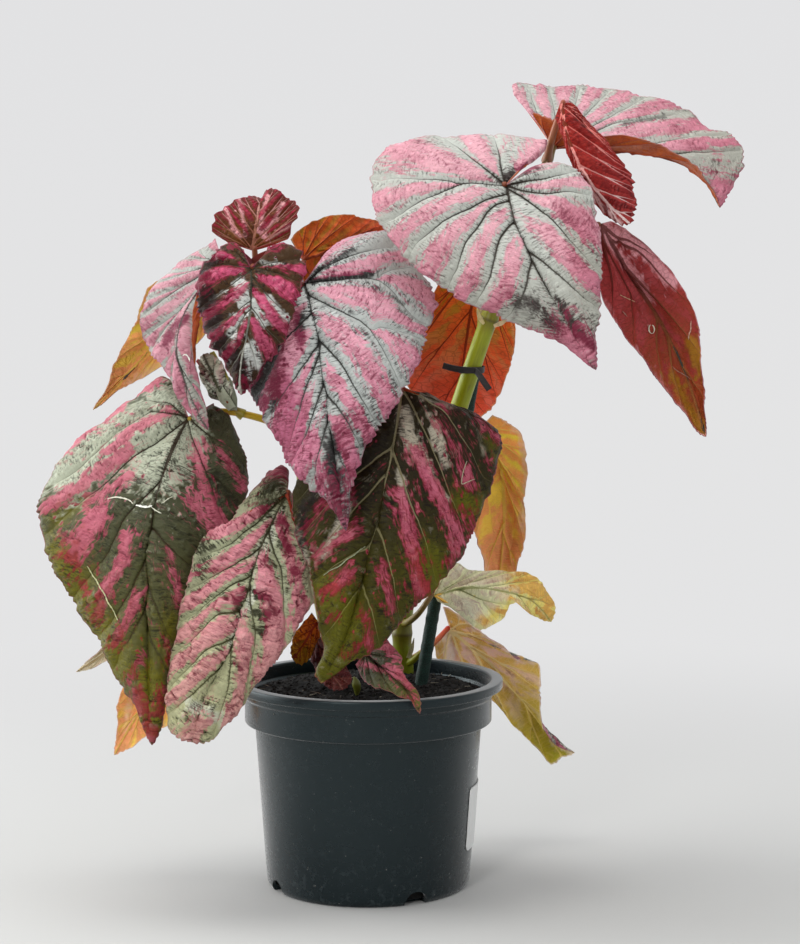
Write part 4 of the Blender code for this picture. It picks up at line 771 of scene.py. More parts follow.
        "upper": "silver", "under": "peach", "slot": "leaf_under",
        "pink": 0.6, "ladder": (8.0, 0.25),
        "tooth": 0.7, "quilt": 0.9, "veinWidth": 0.75, "veins": {"left": 4, "right": 6},
        "marks": [("light", 0.8, 8, [(447, 640), (452, 672), (480, 688)]),
                  ("light", 0.8, 6, [(460, 614), (500, 642), (536, 660)]),
                  ("light", 0.6, 5, [(551, 740), (572, 752)]),
                  ("dark", 0.4, 10, [(500, 668), (530, 690)]), ("dark", 0.9, 5, [(450, 629)])]},
    "leaf_soil_small": {
        "upper": "mossy", "under": "rust", "slot": "leaf_silver", "pits": 0.50,
        "pink": 0.45, "ladder": (4.0, 0.35),
        "tooth": 1.0, "quilt": 1.2, "veinWidth": 0.5, "veins": {"left": 4, "right": 4},
        "marks": [("lane", 0.8, 6, [(370, 648), (384, 646), (396, 656)]),
                  ("lane", 0.7, 5, [(360, 664), (380, 668), (396, 676)]),
                  ("lane", 0.7, 5, [(396, 668), (408, 686), (416, 704)]), ("light", 0.35, 6, [(380, 660)])]},
    "leaf_left_low_back": {
        "upper": "silver", "under": "honey", "slot": "leaf_under",
        "pink": 0.5, "ladder": (8.0, 0.2),
        "tooth": 0.7, "quilt": 0.6, "veinWidth": 0.4, "veins": {"left": 4, "right": 4},
        "marks": [("light", 0.6, 6, [(134, 670), (126, 730)]), ("light", 0.5, 5, [(170, 722), (150, 734)])]},
    "leaf_left_pale_back": {
        "upper": "silver", "under": "straw", "slot": "leaf_under",
        "pink": 0.5, "ladder": (6.0, 0.2),
        "tooth": 0.5, "quilt": 0.6, "veinWidth": 0.4, "veins": {"left": 3, "right": 3}, "marks": []},
    "leaf_basal_olive": {
        "upper": "amber", "under": "rust", "slot": "leaf_dark", "pink": 0.5, "ladder": (4.0, 0.4),
        "tooth": 1.0, "quilt": 1.2, "veinWidth": 0.5, "veins": {"left": 4, "right": 4}, "marks": []},
    "leaf_basal_maroon": {
        "upper": "maroon", "under": "maroon", "slot": "leaf_dark",
        "pink": 0.5, "ladder": (3.5, 0.5),
        "tooth": 1.0, "quilt": 1.3, "veinWidth": 0.5, "veins": {"left": 4, "right": 4}, "marks": []},
}

# How every blade is drawn
blade = {"fanStart": 0.5, "fanEase": 0.85, "fullPuffWidth": 0.040, "ripplePerRib": 1.3,
         "thickness": 0.00055, "spacing": {"upper": 1.5, "under": 2.4}, "mostRows": 56, "toothPitch": 0.0048,
         "frill": 0.0009, "traceStep": 3.0, "baseReach": 12, "veinGap": 0.008, "firstVein": 0.012,
         "lastVein": 0.985, "farOff": 99.0, "laneApart": 40, "halfApart": 600, "weld": 0.000004}
bladeSurfaces = {}


def bladeLine(shape, part):
    top = shape["midrib"][0][1]
    return [seen(across, down, depth + shape["lean"] * (down - top) / 100)
            for across, down, depth in shape[part]]


def bladeSheet(shape, look, side):
    # one half of a blade as a function of how far round the margin and how far out from the midrib
    turns = np.linspace(0, 1, 1201)
    midrib = bladeLine(shape, "midrib")
    at = 1 - np.minimum(1, turns / blade["fanStart"]) ** blade["fanEase"]
    inner = smooth(midrib, at)
    outer = smooth([midrib[-1]] + bladeLine(shape, side), turns)
    across = outer - inner
    size = np.linalg.norm(across, axis=1)
    arc = travelled(outer)
    length = gaps(smooth(midrib, np.linspace(0, 1, 60))).sum()
    puff = shape["puff"] / 1000 * np.minimum(1, size / blade["fullPuffWidth"])
    phase = 0.0 if side == "left" else math.pi / 2
    wave = shape["wave"] / 1000 * np.sin(turns * shape["ribs"] * blade["ripplePerRib"] + phase)
    wave = wave * np.minimum(1, turns * shape["ribs"])
    # teeth that lean to the tip, uneven in pitch and depth, and fainter where the blade is narrow
    beat = arc / blade["toothPitch"] + 0.9 * np.sin(arc / 0.009 + phase * 3)
    saw = beat % 1.0
    saw = np.where(saw < 0.72, saw / 0.72, (1 - saw) / 0.28) - 0.5
    saw = saw * (0.9 + 0.6 * np.sin(arc / 0.0051 + 1.3)) + 0.35 * np.sin(arc / 0.0023 + phase)
    teeth = look["tooth"] * 1.45 / 1000 * saw * np.minimum(1, size / 0.012)
    teeth = teeth + 0.0006 * np.sin(arc / 0.0062 + phase) * np.minimum(1, size / 0.020)
    facing = -1.0 if shape["shows"] == "upper" else 1.0
    fields = {"inner": inner, "outer": outer, "puff": puff, "wave": wave, "teeth": teeth, "arc": arc,
              "size": size, "from": at * length}

    def value(name, turn):
        table = fields[name]
        if table.ndim == 1:
            return np.interp(turn, turns, table)
        return np.stack([np.interp(turn, turns, table[:, k]) for k in range(3)], axis=-1)

    def place(turn, out):
        turn, out = np.broadcast_arrays(turn, out)
        start = value("inner", turn)
        end = value("outer", turn)
        away = end - start
        push = value("teeth", turn) * ease(out, 0.86, 1.0)
        points = start + away * (out + push / np.maximum(value("size", turn), 1e-4))[..., None]
        points[..., 1] += facing * value("puff", turn) * 4 * out * (1 - out)
        points[..., 1] += value("wave", turn) * out * out
        return points

    return place, value


def tracedVein(line, places, turns, outs, base, rows):
    # a side vein drawn in pixels, as how far round the blade it lies at each row out from the midrib
    line = np.array(line, float)
    at = travelled(line)
    steps = np.arange(0, at[-1] + 0.1, blade["traceStep"])
    path = np.stack([np.interp(steps, at, line[:, k]) for k in range(2)], axis=1)
    gap = ((places[None] - path[:, None, None]) ** 2).sum(-1).reshape(len(path), -1)
    best = gap.argmin(axis=1)
    turn = turns[best // len(outs)]
    out = outs[best % len(outs)]
    # every turn looks alike beside the petiole, so a vein from there is traced from further out
    fromBase = np.linalg.norm(line[0] - base) < blade["baseReach"]
    keep = out > (0.15 if fromBase else -1)
    if keep.sum() < 2:
        keep = out > 0.02
    turn = turn[keep]
    out = out[keep]
    order = np.argsort(out, kind="stable")
    traced = np.interp(rows, out[order], turn[order])
    padded = np.concatenate([traced[:1]] * 3 + [traced] + [traced[-1:]] * 3)
    return np.convolve(padded, np.ones(7) / 7, mode="valid"), float(out.min())


def sideVeins(shape, look, side, place, rows):
    # every side vein of a half, from the tip round, with forks drawn on their parent up to where they leave
    wanted = look["veins"][side]
    lines = []
    strengths = []
    forks = []
    if isinstance(wanted, int):
        # evenly spaced veins, each parting in two on its way out
        gap = 1.0 / (wanted + 0.4)
        spread = np.clip((rows - 0.45) / 0.55, 0, 1)
        for k in range(wanted):
            turn = (k + 0.72) * gap
            sway = 0.06 * gap * math.sin(5.1 * k + len(side))
            for lean, strength, fork in ((-0.16, 1.0, None), (0.30, 0.6, 0.45)):
                lines.append(turn + lean * gap * spread + sway)
                strengths.append(strength)
                forks.append(fork)
    else:
        turns = np.linspace(0, 1, 161)
        outs = np.linspace(0, 1, 41)
        places = pictured(place(turns[:, None], outs[None]))
        base = np.array(shape["midrib"][0][:2], float)
        for vein in wanted:
            forked = isinstance(vein, tuple)
            line, start = tracedVein(vein[1] if forked else vein, places, turns, outs, base, rows)
            lines.append(line)
            strengths.append(0.7 if forked else 1.0)
            forks.append(start if forked else None)
    lines = np.array(lines)
    # the veins keep their order with a little room between them
    for k in range(len(lines)):
        floor = lines[k - 1] + blade["veinGap"] if k else blade["firstVein"]
        lines[k] = np.maximum(lines[k], floor)
    for k in range(len(lines) - 1, -1, -1):
        roof = lines[k + 1] - blade["veinGap"] if k < len(lines) - 1 else blade["lastVein"]
        lines[k] = np.minimum(lines[k], roof)
    for k, start in enumerate(forks):
        if start is not None:
            share = ease(rows, start, min(1.0, start + 0.12))
            lines[k] = lines[k - 1] * (1 - share) + lines[k] * share
    return lines, strengths, forks


def bladeHalf(shape, look, side):
    # the lanes between one half's veins, each a grid of points with what is known at each
    place, value = bladeSheet(shape, look, side)
    widest = value("size", np.linspace(0, 1, 200)).max() * 1000
    spacing = blade["spacing"][shape["shows"]]
    rows = np.linspace(0, 1, int(np.clip(round(widest / spacing), 8, blade["mostRows"])) + 1)
    lines, strengths, forks = sideVeins(shape, look, side, place, rows)
    edges = np.vstack([np.zeros_like(rows), lines, np.ones_like(rows)])
    lanes = []
    for k in range(len(edges) - 1):
        apart = np.linalg.norm(place(edges[k + 1], rows) - place(edges[k], rows), axis=1).max() * 1000
        count = max(2, int(math.ceil(apart / spacing)))
        share = np.linspace(0, 1, count + 1)
        turn = edges[k][:, None] * (1 - share) + edges[k + 1][:, None] * share
        out = np.broadcast_to(rows[:, None], turn.shape)
        points = place(turn, out)
        along = np.gradient(points, axis=0)
        step = np.diff(points, axis=1)
        length = np.linalg.norm(step, axis=2)
        lean = np.abs((step * along[:, :-1]).sum(-1)) / np.maximum(
            length * np.linalg.norm(along[:, :-1], axis=2), 1e-9)
        square = length * np.sqrt(np.maximum(1 - np.minimum(lean, 1) ** 2, 0.02))
        x = np.concatenate([np.zeros((len(rows), 1)), np.cumsum(square, axis=1)], axis=1) * 1000
        width = x[:, -1:]
        first = x if k else x + blade["farOff"]
        last = width - x if k < len(edges) - 2 else np.full(x.shape, blade["farOff"])
        near = np.minimum(first, last)
        whole = width / 2 if 0 < k < len(edges) - 2 else width
        strengthLeft = strengths[k - 1] if k else 0.5
        strengthRight = strengths[k] if k < len(strengths) else 0.5
        strength = np.where(first < last, strengthLeft, strengthRight)
        # until a fork has left its parent, it isn't a vein of its own
        for which, own in ((k - 1, first), (k, last)):
            if 0 <= which < len(forks) and forks[which] is not None:
                before = ease(rows, forks[which] - 0.03, forks[which] + 0.03)[:, None]
                beside = (own <= near) & (before < 0.5) & (width > 0.4)
                near = np.where(beside, near + 1.2 * (1 - before), near)
        size = value("size", turn) * 1000
        edge = (1 - out) * size
        if k == len(edges) - 2:
            edge = np.minimum(edge, width - x)
        lanes.append({
            "points": points, "x": x, "width": np.broadcast_to(width, x.shape), "near": near,
            "share": np.clip(near / np.maximum(whole, 0.3), 0, 1), "out": out,
            "run": value("from", turn) * 1000 + out * size, "strength": strength, "edge": edge,
            "arc": value("arc", turn), "lane": np.full(x.shape, float(k)), "inner": value("from", turn)})
    return lanes


def midribDistance(points, shape):
    line = smooth(bladeLine(shape, "midrib"), np.linspace(0, 1, 16))
    best = np.full(len(points), 1e9)
    for start, end in zip(line[:-1], line[1:]):
        along = end - start
        t = np.clip((points - start) @ along / (along @ along), 0, 1)
        best = np.minimum(best, np.linalg.norm(points - start - t[:, None] * along, axis=1))
    return best * 1000


def joinedHalves(shape, look):
    # both halves as one sheet: points, triangles, the lane coordinates of their corners, and the fields
    fields = {}
    triangles = []
    start = 0
    middles = {}
    for side in ("left", "right"):
        middle = []
        for lane in bladeHalf(shape, look, side):
            tall, wide = lane["x"].shape
            index = start + np.arange(tall * wide).reshape(tall, wide)
            a, b, c, d = index[:-1, :-1], index[:-1, 1:], index[1:, 1:], index[1:, :-1]
            turned = ((a, b, c), (a, c, d)) if side == "left" else ((a, c, b), (a, d, c))
            for corners in turned:
                triangles.append(np.stack([corner.ravel() for corner in corners], axis=1))
            lane["side"] = np.full(lane["x"].shape, 0.0 if side == "left" else 1.0)
            for name, table in lane.items():
                fields.setdefault(name, []).append(table.reshape(tall * wide, -1))
            middle.extend(zip(index[0], lane["inner"][0]))
            start += tall * wide
        middles[side] = middle
    fields = {name: np.concatenate(tables) for name, tables in fields.items()}
    points = fields.pop("points")
    fields = {name: table[:, 0] for name, table in fields.items()}
    triangles = np.concatenate(triangles)
    mapping = np.stack([fields["x"] + blade["laneApart"] * fields["lane"]
                        + blade["halfApart"] * fields["side"], fields["run"]], axis=1)
    # the two lanes beside a vein share its points and keep their own coordinates
    keys = np.round(points / blade["weld"]).astype(np.int64)
    _, first, same = np.unique(keys, axis=0, return_index=True, return_inverse=True)
    same = same.ravel()
    corners = mapping[triangles]
    triangles = same[triangles]
    bridge = midribBridge([(same[k], at) for k, at in middles["left"]],
                          [(same[k], at) for k, at in middles["right"]])
    corners = np.concatenate([corners, mapping[first][bridge]])
    triangles = np.concatenate([triangles, bridge])
    whole = ((triangles[:, 0] != triangles[:, 1]) & (triangles[:, 1] != triangles[:, 2])
             & (triangles[:, 0] != triangles[:, 2]))
    return (points[first], triangles[whole], corners[whole], mapping[first],
            {name: table[first] for name, table in fields.items()})


def midribBridge(left, right):
    # sliver triangles between the two rows of points on the midrib, from the tip to the petiole
    i = 0
    j = 0
    made = []
    while i < len(left) - 1 or j < len(right) - 1:
        leftNext = left[i + 1][1] if i < len(left) - 1 else -1
        rightNext = right[j + 1][1] if j < len(right) - 1 else -1
        if leftNext >= rightNext:
            made.append((left[i + 1][0], left[i][0], right[j][0]))
            i += 1
        else:
            made.append((right[j][0], right[j + 1][0], left[i][0]))
            j += 1
    return np.array(made)


def pointNormals(points, triangles):
    a, b, c = (points[triangles[:, k]] for k in range(3))
    face = np.cross(b - a, c - a)
    total = np.stack([sum(np.bincount(triangles[:, k], weights=face[:, axis], minlength=len(points))
                          for k in range(3)) for axis in range(3)], axis=1)
    return total / np.maximum(np.linalg.norm(total, axis=1, keepdims=True), 1e-15)


def bladeRelief(points, fields, look):
    # how far each point stands up from the sheet: sunken veins, puckers and bulges between them
    near = fields["near"]
    share = fields["share"]
    rib = fields["rib"]
    fade = ease(fields["edge"], 0, 4) * ease(fields["run"], 2, 14)
    bulge = look["quilt"] * 0.120 * np.minimum(fields["width"], 20) * np.sin(share * math.pi / 2)
    groove = 0.80 * fields["strength"] * (1 - 0.6 * fields["out"]) * np.exp(-(near / 0.9) ** 2)
    groove = groove + 0.7 * np.exp(-(rib / 1.1) ** 2)
    length, depth = look["ladder"]
    wobble = 2.6 * swell(points, 0.014, 3) + 1.9 * swell(points, 0.006, 4) + 2.1 * fields["lane"]
    ladder = np.sin(2 * math.pi * fields["run"] / length + wobble + 1.1 * share)
    ladder = ladder * np.sin(share * math.pi / 2) * (0.70 + 0.95 * swell(points, 0.010, 8))
    frill = blade["frill"] * 1000 * np.sin(fields["arc"] / 0.0042) * (1 - ease(fields["edge"], 0, 9))
    lumps = (0.35 * swell(points, 0.014, 5) + 0.24 * swell(points, 0.0048, 6)) * ease(fields["edge"], 0, 6)
    rough = 0.35 + 0.65 * look.get("pits", 1.0)
    high = (bulge + (1.35 * depth * ladder + lumps) * rough) * fade
    high = high - groove * ease(fields["edge"], 0, 3) + frill * 0.6
    return high / 1000, ladder


def bladePaint(points, fields, look, showing, finish):
    # what the shader mixes: a body, a lane, a light and a dark colour, and how much of each is wanted
    colours = leafColours[finish]
    length = fields["run"].max()
    far = ease(fields["run"] / length, 0.25, 0.95)
    places = pictured(points)
    lane = 0.40 + 1.5 * (fields["share"] - (1 - look["pink"])) - 0.9 * (1 - ease(fields["run"], 4, 20))
    lane = np.where(fields["rib"] < 3.0, lane - 0.5 * (3.0 - fields["rib"]) / 3.0, lane)
    masks = {"lane": np.clip(lane, 0, 0.9), "light": np.zeros(len(points)), "dark": np.zeros(len(points)),
             "vein": np.zeros(len(points)), "tip": far,
             "pits": np.full(len(points), look.get("pits", 1.0))}
    # the dark leaves have pink only where the marks say
    if finish in ("olive", "mossy") and showing:
        masks["lane"] = masks["lane"] * 0.25
        masks["tip"] = far * 0.60
    if showing:
        waver = 1 + 0.35 * swell(points, 0.006, 31) + 0.25 * swell(points, 0.0025, 32)
        for what, strength, radius, line in look["marks"]:
            reach = lineDistance(places, line) / radius * waver
            masks[what] = masks[what] + strength * np.exp(-0.9 * reach * reach)
    tip = np.clip(masks["tip"], 0, 1)[:, None]
    dim = look.get("dim", 1.0)
    painted = {name: (np.array(pair[0]) * (1 - tip) + np.array(pair[1]) * tip) * dim
               for name, pair in colours.items()}
    return painted, masks


def paintFields(mesh, painted, masks, fields, ladder, look, count):
    # the fields as attributes that the materials read, for the upper face's points and then the lower's
    def vectors(name, table):
        made = mesh.attributes.new(name, "FLOAT_VECTOR", "POINT")
        made.data.foreach_set("vector", np.ascontiguousarray(table, dtype=np.float32).ravel())

    widths = 0.06 + 1.25 * look["veinWidth"] * fields["strength"] * (1 - fields["out"]) ** 1.1
    ribWidth = 0.22 + 1.15 * look["veinWidth"] * (1 - 0.6 * fields["run"] / fields["run"].max())
    widths = np.where(fields["rib"] < fields["near"], ribWidth, widths)
    veins = np.stack([np.minimum(fields["near"], fields["rib"]), fields["run"], widths], axis=1)
    places = np.stack([fields["edge"], ladder, fields["share"]], axis=1)
    vectors("veinMap", np.concatenate([veins, veins]))
    vectors("place", np.concatenate([places, places]))
    vectors("masks", np.concatenate([np.stack([m["lane"], m["light"], m["dark"]], axis=1) for m in masks]))
    vectors("extra", np.concatenate([np.stack([m["vein"], m["tip"], m["pits"]], axis=1) for m in masks]))
    for name in ("body", "lane", "light", "dark", "vein"):
        made = mesh.attributes.new(name + "Colour", "FLOAT_COLOR", "POINT")
        table = np.ones((count * 2, 4), dtype=np.float32)
        table[:, :3] = np.concatenate([side[name] for side in painted])
        made.data.foreach_set("color", table.ravel())


def bladePiece(name, shape, look, materials):
    points, triangles, corners, mapping, fields = joinedHalves(shape, look)
    fields["rib"] = midribDistance(points, shape)
    # the triangles are turned so that they make the upper face
    middle = points[triangles].mean(axis=1)
    face = np.cross(points[triangles[:, 1]] - points[triangles[:, 0]],
                    points[triangles[:, 2]] - points[triangles[:, 0]])
    away = eyePlace - middle
    facing = ((face * away).sum(1) / np.linalg.norm(away, axis=1)).sum() > 0
    if facing != (shape["shows"] == "upper"):
        triangles = triangles[:, ::-1]
        corners = corners[:, ::-1]
    high, ladder = bladeRelief(points, fields, look)
    flat = points
    points = points + pointNormals(points, triangles) * high[:, None]
    normals = pointNormals(points, triangles)
    count = len(points)
    # two skins and a wall round the rim
    half = blade["thickness"] / 2
    skin = np.concatenate([points + normals * half, points - normals * half])
    edges = np.concatenate([triangles[:, [0, 1]], triangles[:, [1, 2]], triangles[:, [2, 0]]])
    code = np.sort(edges, axis=1) @ np.array([count, 1])
    _, first, times = np.unique(code, return_index=True, return_counts=True)
    rim = edges[first[times == 1]]
    walls = np.concatenate([np.stack([rim[:, 1], rim[:, 0], rim[:, 0] + count], axis=1),
                            np.stack([rim[:, 1], rim[:, 0] + count, rim[:, 1] + count], axis=1)])
    faces = np.concatenate([triangles, triangles[:, ::-1] + count, walls])
    places = np.concatenate([corners, corners[:, ::-1], np.concatenate([mapping, mapping])[walls]])
    mesh = bpy.data.meshes.new(name + "_blade")
    mesh.from_pydata(skin.tolist(), [], faces.tolist())
    mesh.uv_layers.new(name="lanes").data.foreach_set("uv", places.astype(np.float32).ravel())
    kinds = np.zeros(len(faces), dtype=np.int32)
    kinds[len(triangles):2 * len(triangles)] = 1
    mesh.polygons.foreach_set("material_index", kinds)
    painted, masks = zip(*(bladePaint(flat, fields, look, shape["shows"] == side, look[side])
                           for side in ("upper", "under")))
    paintFields(mesh, painted, masks, fields, ladder, look, count)
    for material in materials:
        mesh.materials.append(material)
    made = newObject(name + "_blade", mesh)
    softEdges(made, 50)
    settle(made, look["slot"], name)
    base = np.array(seen(*shape["midrib"][0]))
    root = int(np.linalg.norm(points - base, axis=1).argmin())
    side = 1 if shape["shows"] == "upper" else -1
    bladeSurfaces[name] = {"places": pictured(points + normals * half * side), "normals": normals * side,
                           "points": points + normals * half * side, "base": points[root],
                           "under": -normals[root]}
    return made


def upperMaterial(name, gloss, darkVeins):
    # the upper face: silver or olive, streaky pink between the veins, puckers with painted shade in their
    # hollows and creases and painted highlights on their tops, and fine vein lines with shaded flanks
    made, tree, shader = newMaterial(name)
    lanes = tree.node("ShaderNodeUVMap", {"uv_map": "lanes"})
    near, width = tree.split(tree.field("veinMap"))[::2]
    edge, ladder, share = tree.split(tree.field("place"))
    lane, light, dark = tree.split(tree.field("masks"))
    rough = tree.split(tree.field("extra"))[2]
    # patterns that run along the lane, from long streaks to fine grain
    streak = tree.noise(tree.stretch(lanes, (0.46, 0.085, 1.0)), 1.0, 3.0, 0.6)
    strand = tree.noise(tree.stretch(lanes, (1.3, 0.24, 1.0)), 1.0, 2.0, 0.6)
    grain = tree.noise(tree.stretch(lanes, (1.7, 1.4, 1.0)), 1.0, 2.0, 0.6)
    cross = tree.noise(tree.stretch(lanes, (0.30, 0.80, 1.0)), 1.0, 2.0, 0.6)
    patch = tree.noise(tree.stretch(lanes, (0.11, 0.06, 1.0)), 1.0, 1.0, 0.5)
    # puckers: raised cells with creases between them
    bent = tree.node("ShaderNodeVectorMath", {"operation": "ADD"}, {
        0: tree.stretch(lanes, (0.21, 0.36, 1.0)),
        1: tree.node("ShaderNodeCombineXYZ", {}, {0: cross - 0.5, 1: strand - 0.5})})
    cell = tree.node("ShaderNodeTexVoronoi", {"feature": "DISTANCE_TO_EDGE"}, {"Vector": bent, "Scale": 1.0})
    crease = tree.step(0.17 - cell, 0.0, 0.14) * tree.step(cross + (patch - 0.5) * 0.6, 0.42, 0.60)
    top = tree.step(cell, 0.14, 0.42)
    between = tree.step(share, 0.02, 0.30)
    # the ragged reach of the pink, with a fuller core
    spread = lane + (streak - 0.5) * 2.2 + (strand - 0.5) + (cross - 0.5) * rough * 0.5
    laneMask = tree.step(spread, 0.30, 0.78 if darkVeins else 0.84)
    core = tree.step(spread, 0.50 if darkVeins else 0.62, 0.95 if darkVeins else 1.15)
    # the light marks: the blade's own pale silver, and painted sheen where the marks put it
    lightMask = tree.step(light + (streak - 0.5) * 0.7 + (patch - 0.5) * 0.6, 0.28, 0.84)
    body = tree.blend(lightMask, tree.paint("body"), tree.paint("light"))
    # painted highlight: the tops of the puckers are made lighter in the body
    body = tree.blend(0.75, body, tree.grey(0.52 + patch * 0.50 + grain * 0.36 + top * 0.22), "MULTIPLY")
    pink = tree.paint("lane")
    border = (0.86, 0.68, 0.73) if darkVeins else (0.52, 0.22, 0.28)
    pink = tree.blend(core, tree.blend(1.0, pink, border, "MULTIPLY"), pink)
    deeper = tree.step(streak * 0.5 + grain * 0.2 + patch * 0.3 + dark * 0.25, 0.46, 0.66)
    pink = tree.blend(deeper * 0.70, pink, tree.blend(1.0, pink, (0.60, 0.26, 0.38), "MULTIPLY"))
    # painted highlight: the tops of the puckers are made lighter in the pink too
    pink = tree.blend(0.75, pink, tree.grey(0.44 + grain * 0.62 + top * 0.26), "MULTIPLY")
    colour = tree.blend(laneMask * 0.88, body, pink)
    # painted shade: the hollows and creases of the puckers go dark in the body and deep red in the pink, and
    # so do the pits and the dark marks, which are partly the blade's own dark flecks and patches
    deep = tree.blend(laneMask * 0.8, tree.paint("dark"),
                      tree.blend(1.0, tree.paint("lane"), (0.27, 0.035, 0.12), "MULTIPLY"))
    hollow = tree.step(0.0 - ladder, 0.05, 0.95) * between
    pits = tree.step(cross * 0.62 + grain * 0.38 - ladder * 0.09 + dark * 0.20 + (patch - 0.5) * 0.25,
                     0.55, 0.63) * between
    shade = tree.step(dark + (patch - 0.5) * 0.5 + (cross - 0.5) * 0.6, 0.12, 0.90)
    calm = 1.0 - laneMask * 0.45
    colour = tree.blend(crease * between * calm * (0.08 + rough * 0.58), colour, deep)
    hollow = hollow * (0.10 + tree.step(cross, 0.40, 0.62) * 0.64)
    colour = tree.blend(hollow * calm * (0.2 + rough * 0.8), colour, deep)
    colour = tree.blend(pits * (1.0 - laneMask * 0.25) * (0.44 + rough * 0.42), colour, deep)
    colour = tree.blend(shade * (0.60 + cross * 0.55), colour, deep)
    # painted highlight: glints on the crests of the puckers
    glint = tree.step(ladder, 0.30, 1.0) * tree.step(strand, 0.46, 0.62) * between
    colour = tree.blend(glint * calm * (0.08 + rough * 0.26), colour, tree.paint("light"))
    # fine vein lines, and shaded flanks on the pale leaves
    line = tree.step(width * (0.55 + grain * 0.9) - near, -0.16, 0.14)
    flank = tree.step(width * 2.4 + (cross - 0.5) * 2.0 + 0.2 - near, -0.2, 1.0)
    flank = flank * tree.step(width, 0.12, 0.40)
    if darkVeins:
        colour = tree.blend(flank * (0.22 + tree.step(cross, 0.45, 0.60) * 0.50), colour,
                            tree.paint("dark"))
    colour = tree.blend(line * (0.45 + tree.step(width, 0.08, 0.40) * 0.5), colour,
                        tree.paint("vein"))
    rimmed = tree.step(1.0 - edge + (grain - 0.5) * 1.4, 0.0, 0.8)
    colour = tree.blend(rimmed * 0.60, colour, tree.blend(0.5, tree.paint("lane"),
                                                          tree.paint("dark")))
    height = (top * 0.9 - crease * 0.6) * (0.25 + rough * 0.75) + grain * 0.55 + streak * 0.5
    finishShader(tree, shader, colour, gloss + grain * 0.18 + laneMask * 0.05,
                 tree.bump(height, 0.60, 0.0008),
                 {"IOR": 1.42, "Specular IOR Level": 0.28 if darkVeins else 0.14})
    return made


def underMaterial(name):
    # the lower face: red to orange, blotched, with raised veins and a fine net between them
    made, tree, shader = newMaterial(name)
    lanes = tree.node("ShaderNodeUVMap", {"uv_map": "lanes"})
    near, width = tree.split(tree.field("veinMap"))[::2]
    edge = tree.split(tree.field("place"))[0]
    lane, light, dark = tree.split(tree.field("masks"))
    gold = tree.split(tree.field("extra"))[0]
    streak = tree.noise(tree.stretch(lanes, (0.30, 0.10, 1.0)), 1.0, 3.0, 0.6)
    grain = tree.noise(tree.stretch(lanes, (1.1, 0.9, 1.0)), 1.0, 3.0, 0.6)
    patch = tree.noise(tree.stretch(lanes, (0.10, 0.07, 1.0)), 1.0, 2.0, 0.5)
    net = tree.node("ShaderNodeTexVoronoi", {"feature": "DISTANCE_TO_EDGE"},
                    {"Vector": tree.stretch(lanes, (0.16, 0.30, 1.0)), "Scale": 1.0})
    laneMask = tree.step(lane * 0.7 + (patch - 0.5) * 2.2 + (streak - 0.5) * 1.2, 0.20, 0.75)
    body = tree.blend(laneMask, tree.paint("body"), tree.paint("lane"))
    body = tree.blend(0.8, body, tree.grey(0.35 + patch * 0.70 + grain * 0.60), "MULTIPLY")
    lightMask = tree.step(light + (streak - 0.5) * 0.9, 0.20, 0.90)
    colour = tree.blend(lightMask * 0.85, body, tree.paint("light"))
    darkMask = tree.step(dark + (patch - 0.5) * 1.3 + (streak - 0.5) * 0.9, 0.25, 0.80)
    colour = tree.blend(darkMask * 0.8, colour, tree.paint("dark"))
    colour = tree.blend(tree.step(gold + (streak - 0.5) * 0.7, 0.25, 0.85) * 0.8, colour, (0.42, 0.22, 0.018))
    mesh = tree.step(0.08 - net, 0.0, 0.07)
    colour = tree.blend(mesh * 0.30, colour, tree.paint("vein"))
    line = tree.step(width * (0.75 + grain * 0.7) - near, -0.22, 0.20)
    colour = tree.blend(line * 0.85, colour, tree.paint("vein"))
    rimmed = tree.step(1.2 - edge + (grain - 0.5), 0.0, 0.9)
    colour = tree.blend(rimmed * 0.6, colour, tree.paint("light"))
    height = grain * 0.7 + mesh * 0.6 + line + streak * 0.5
    finishShader(tree, shader, colour, 0.40 + grain * 0.16, tree.bump(height, 0.6, 0.0006),
                 {"IOR": 1.42, "Specular IOR Level": 0.17})
    return made


silverFace = upperMaterial("silverFace", 0.40, True)
oliveFace = upperMaterial("oliveFace", 0.30, False)
lowerFace = underMaterial("lowerFace")
for leafName, leafLook in leafLooks.items():
    face = silverFace
    if leafLook["upper"] in ("olive", "young", "upright", "maroon", "crown", "amber"):
        face = oliveFace
    leafPiece = bladePiece(leafName, leafShapes[leafName], leafLook, (face, lowerFace))
    print("blade", leafName, len(leafPiece.data.polygons), "triangles")


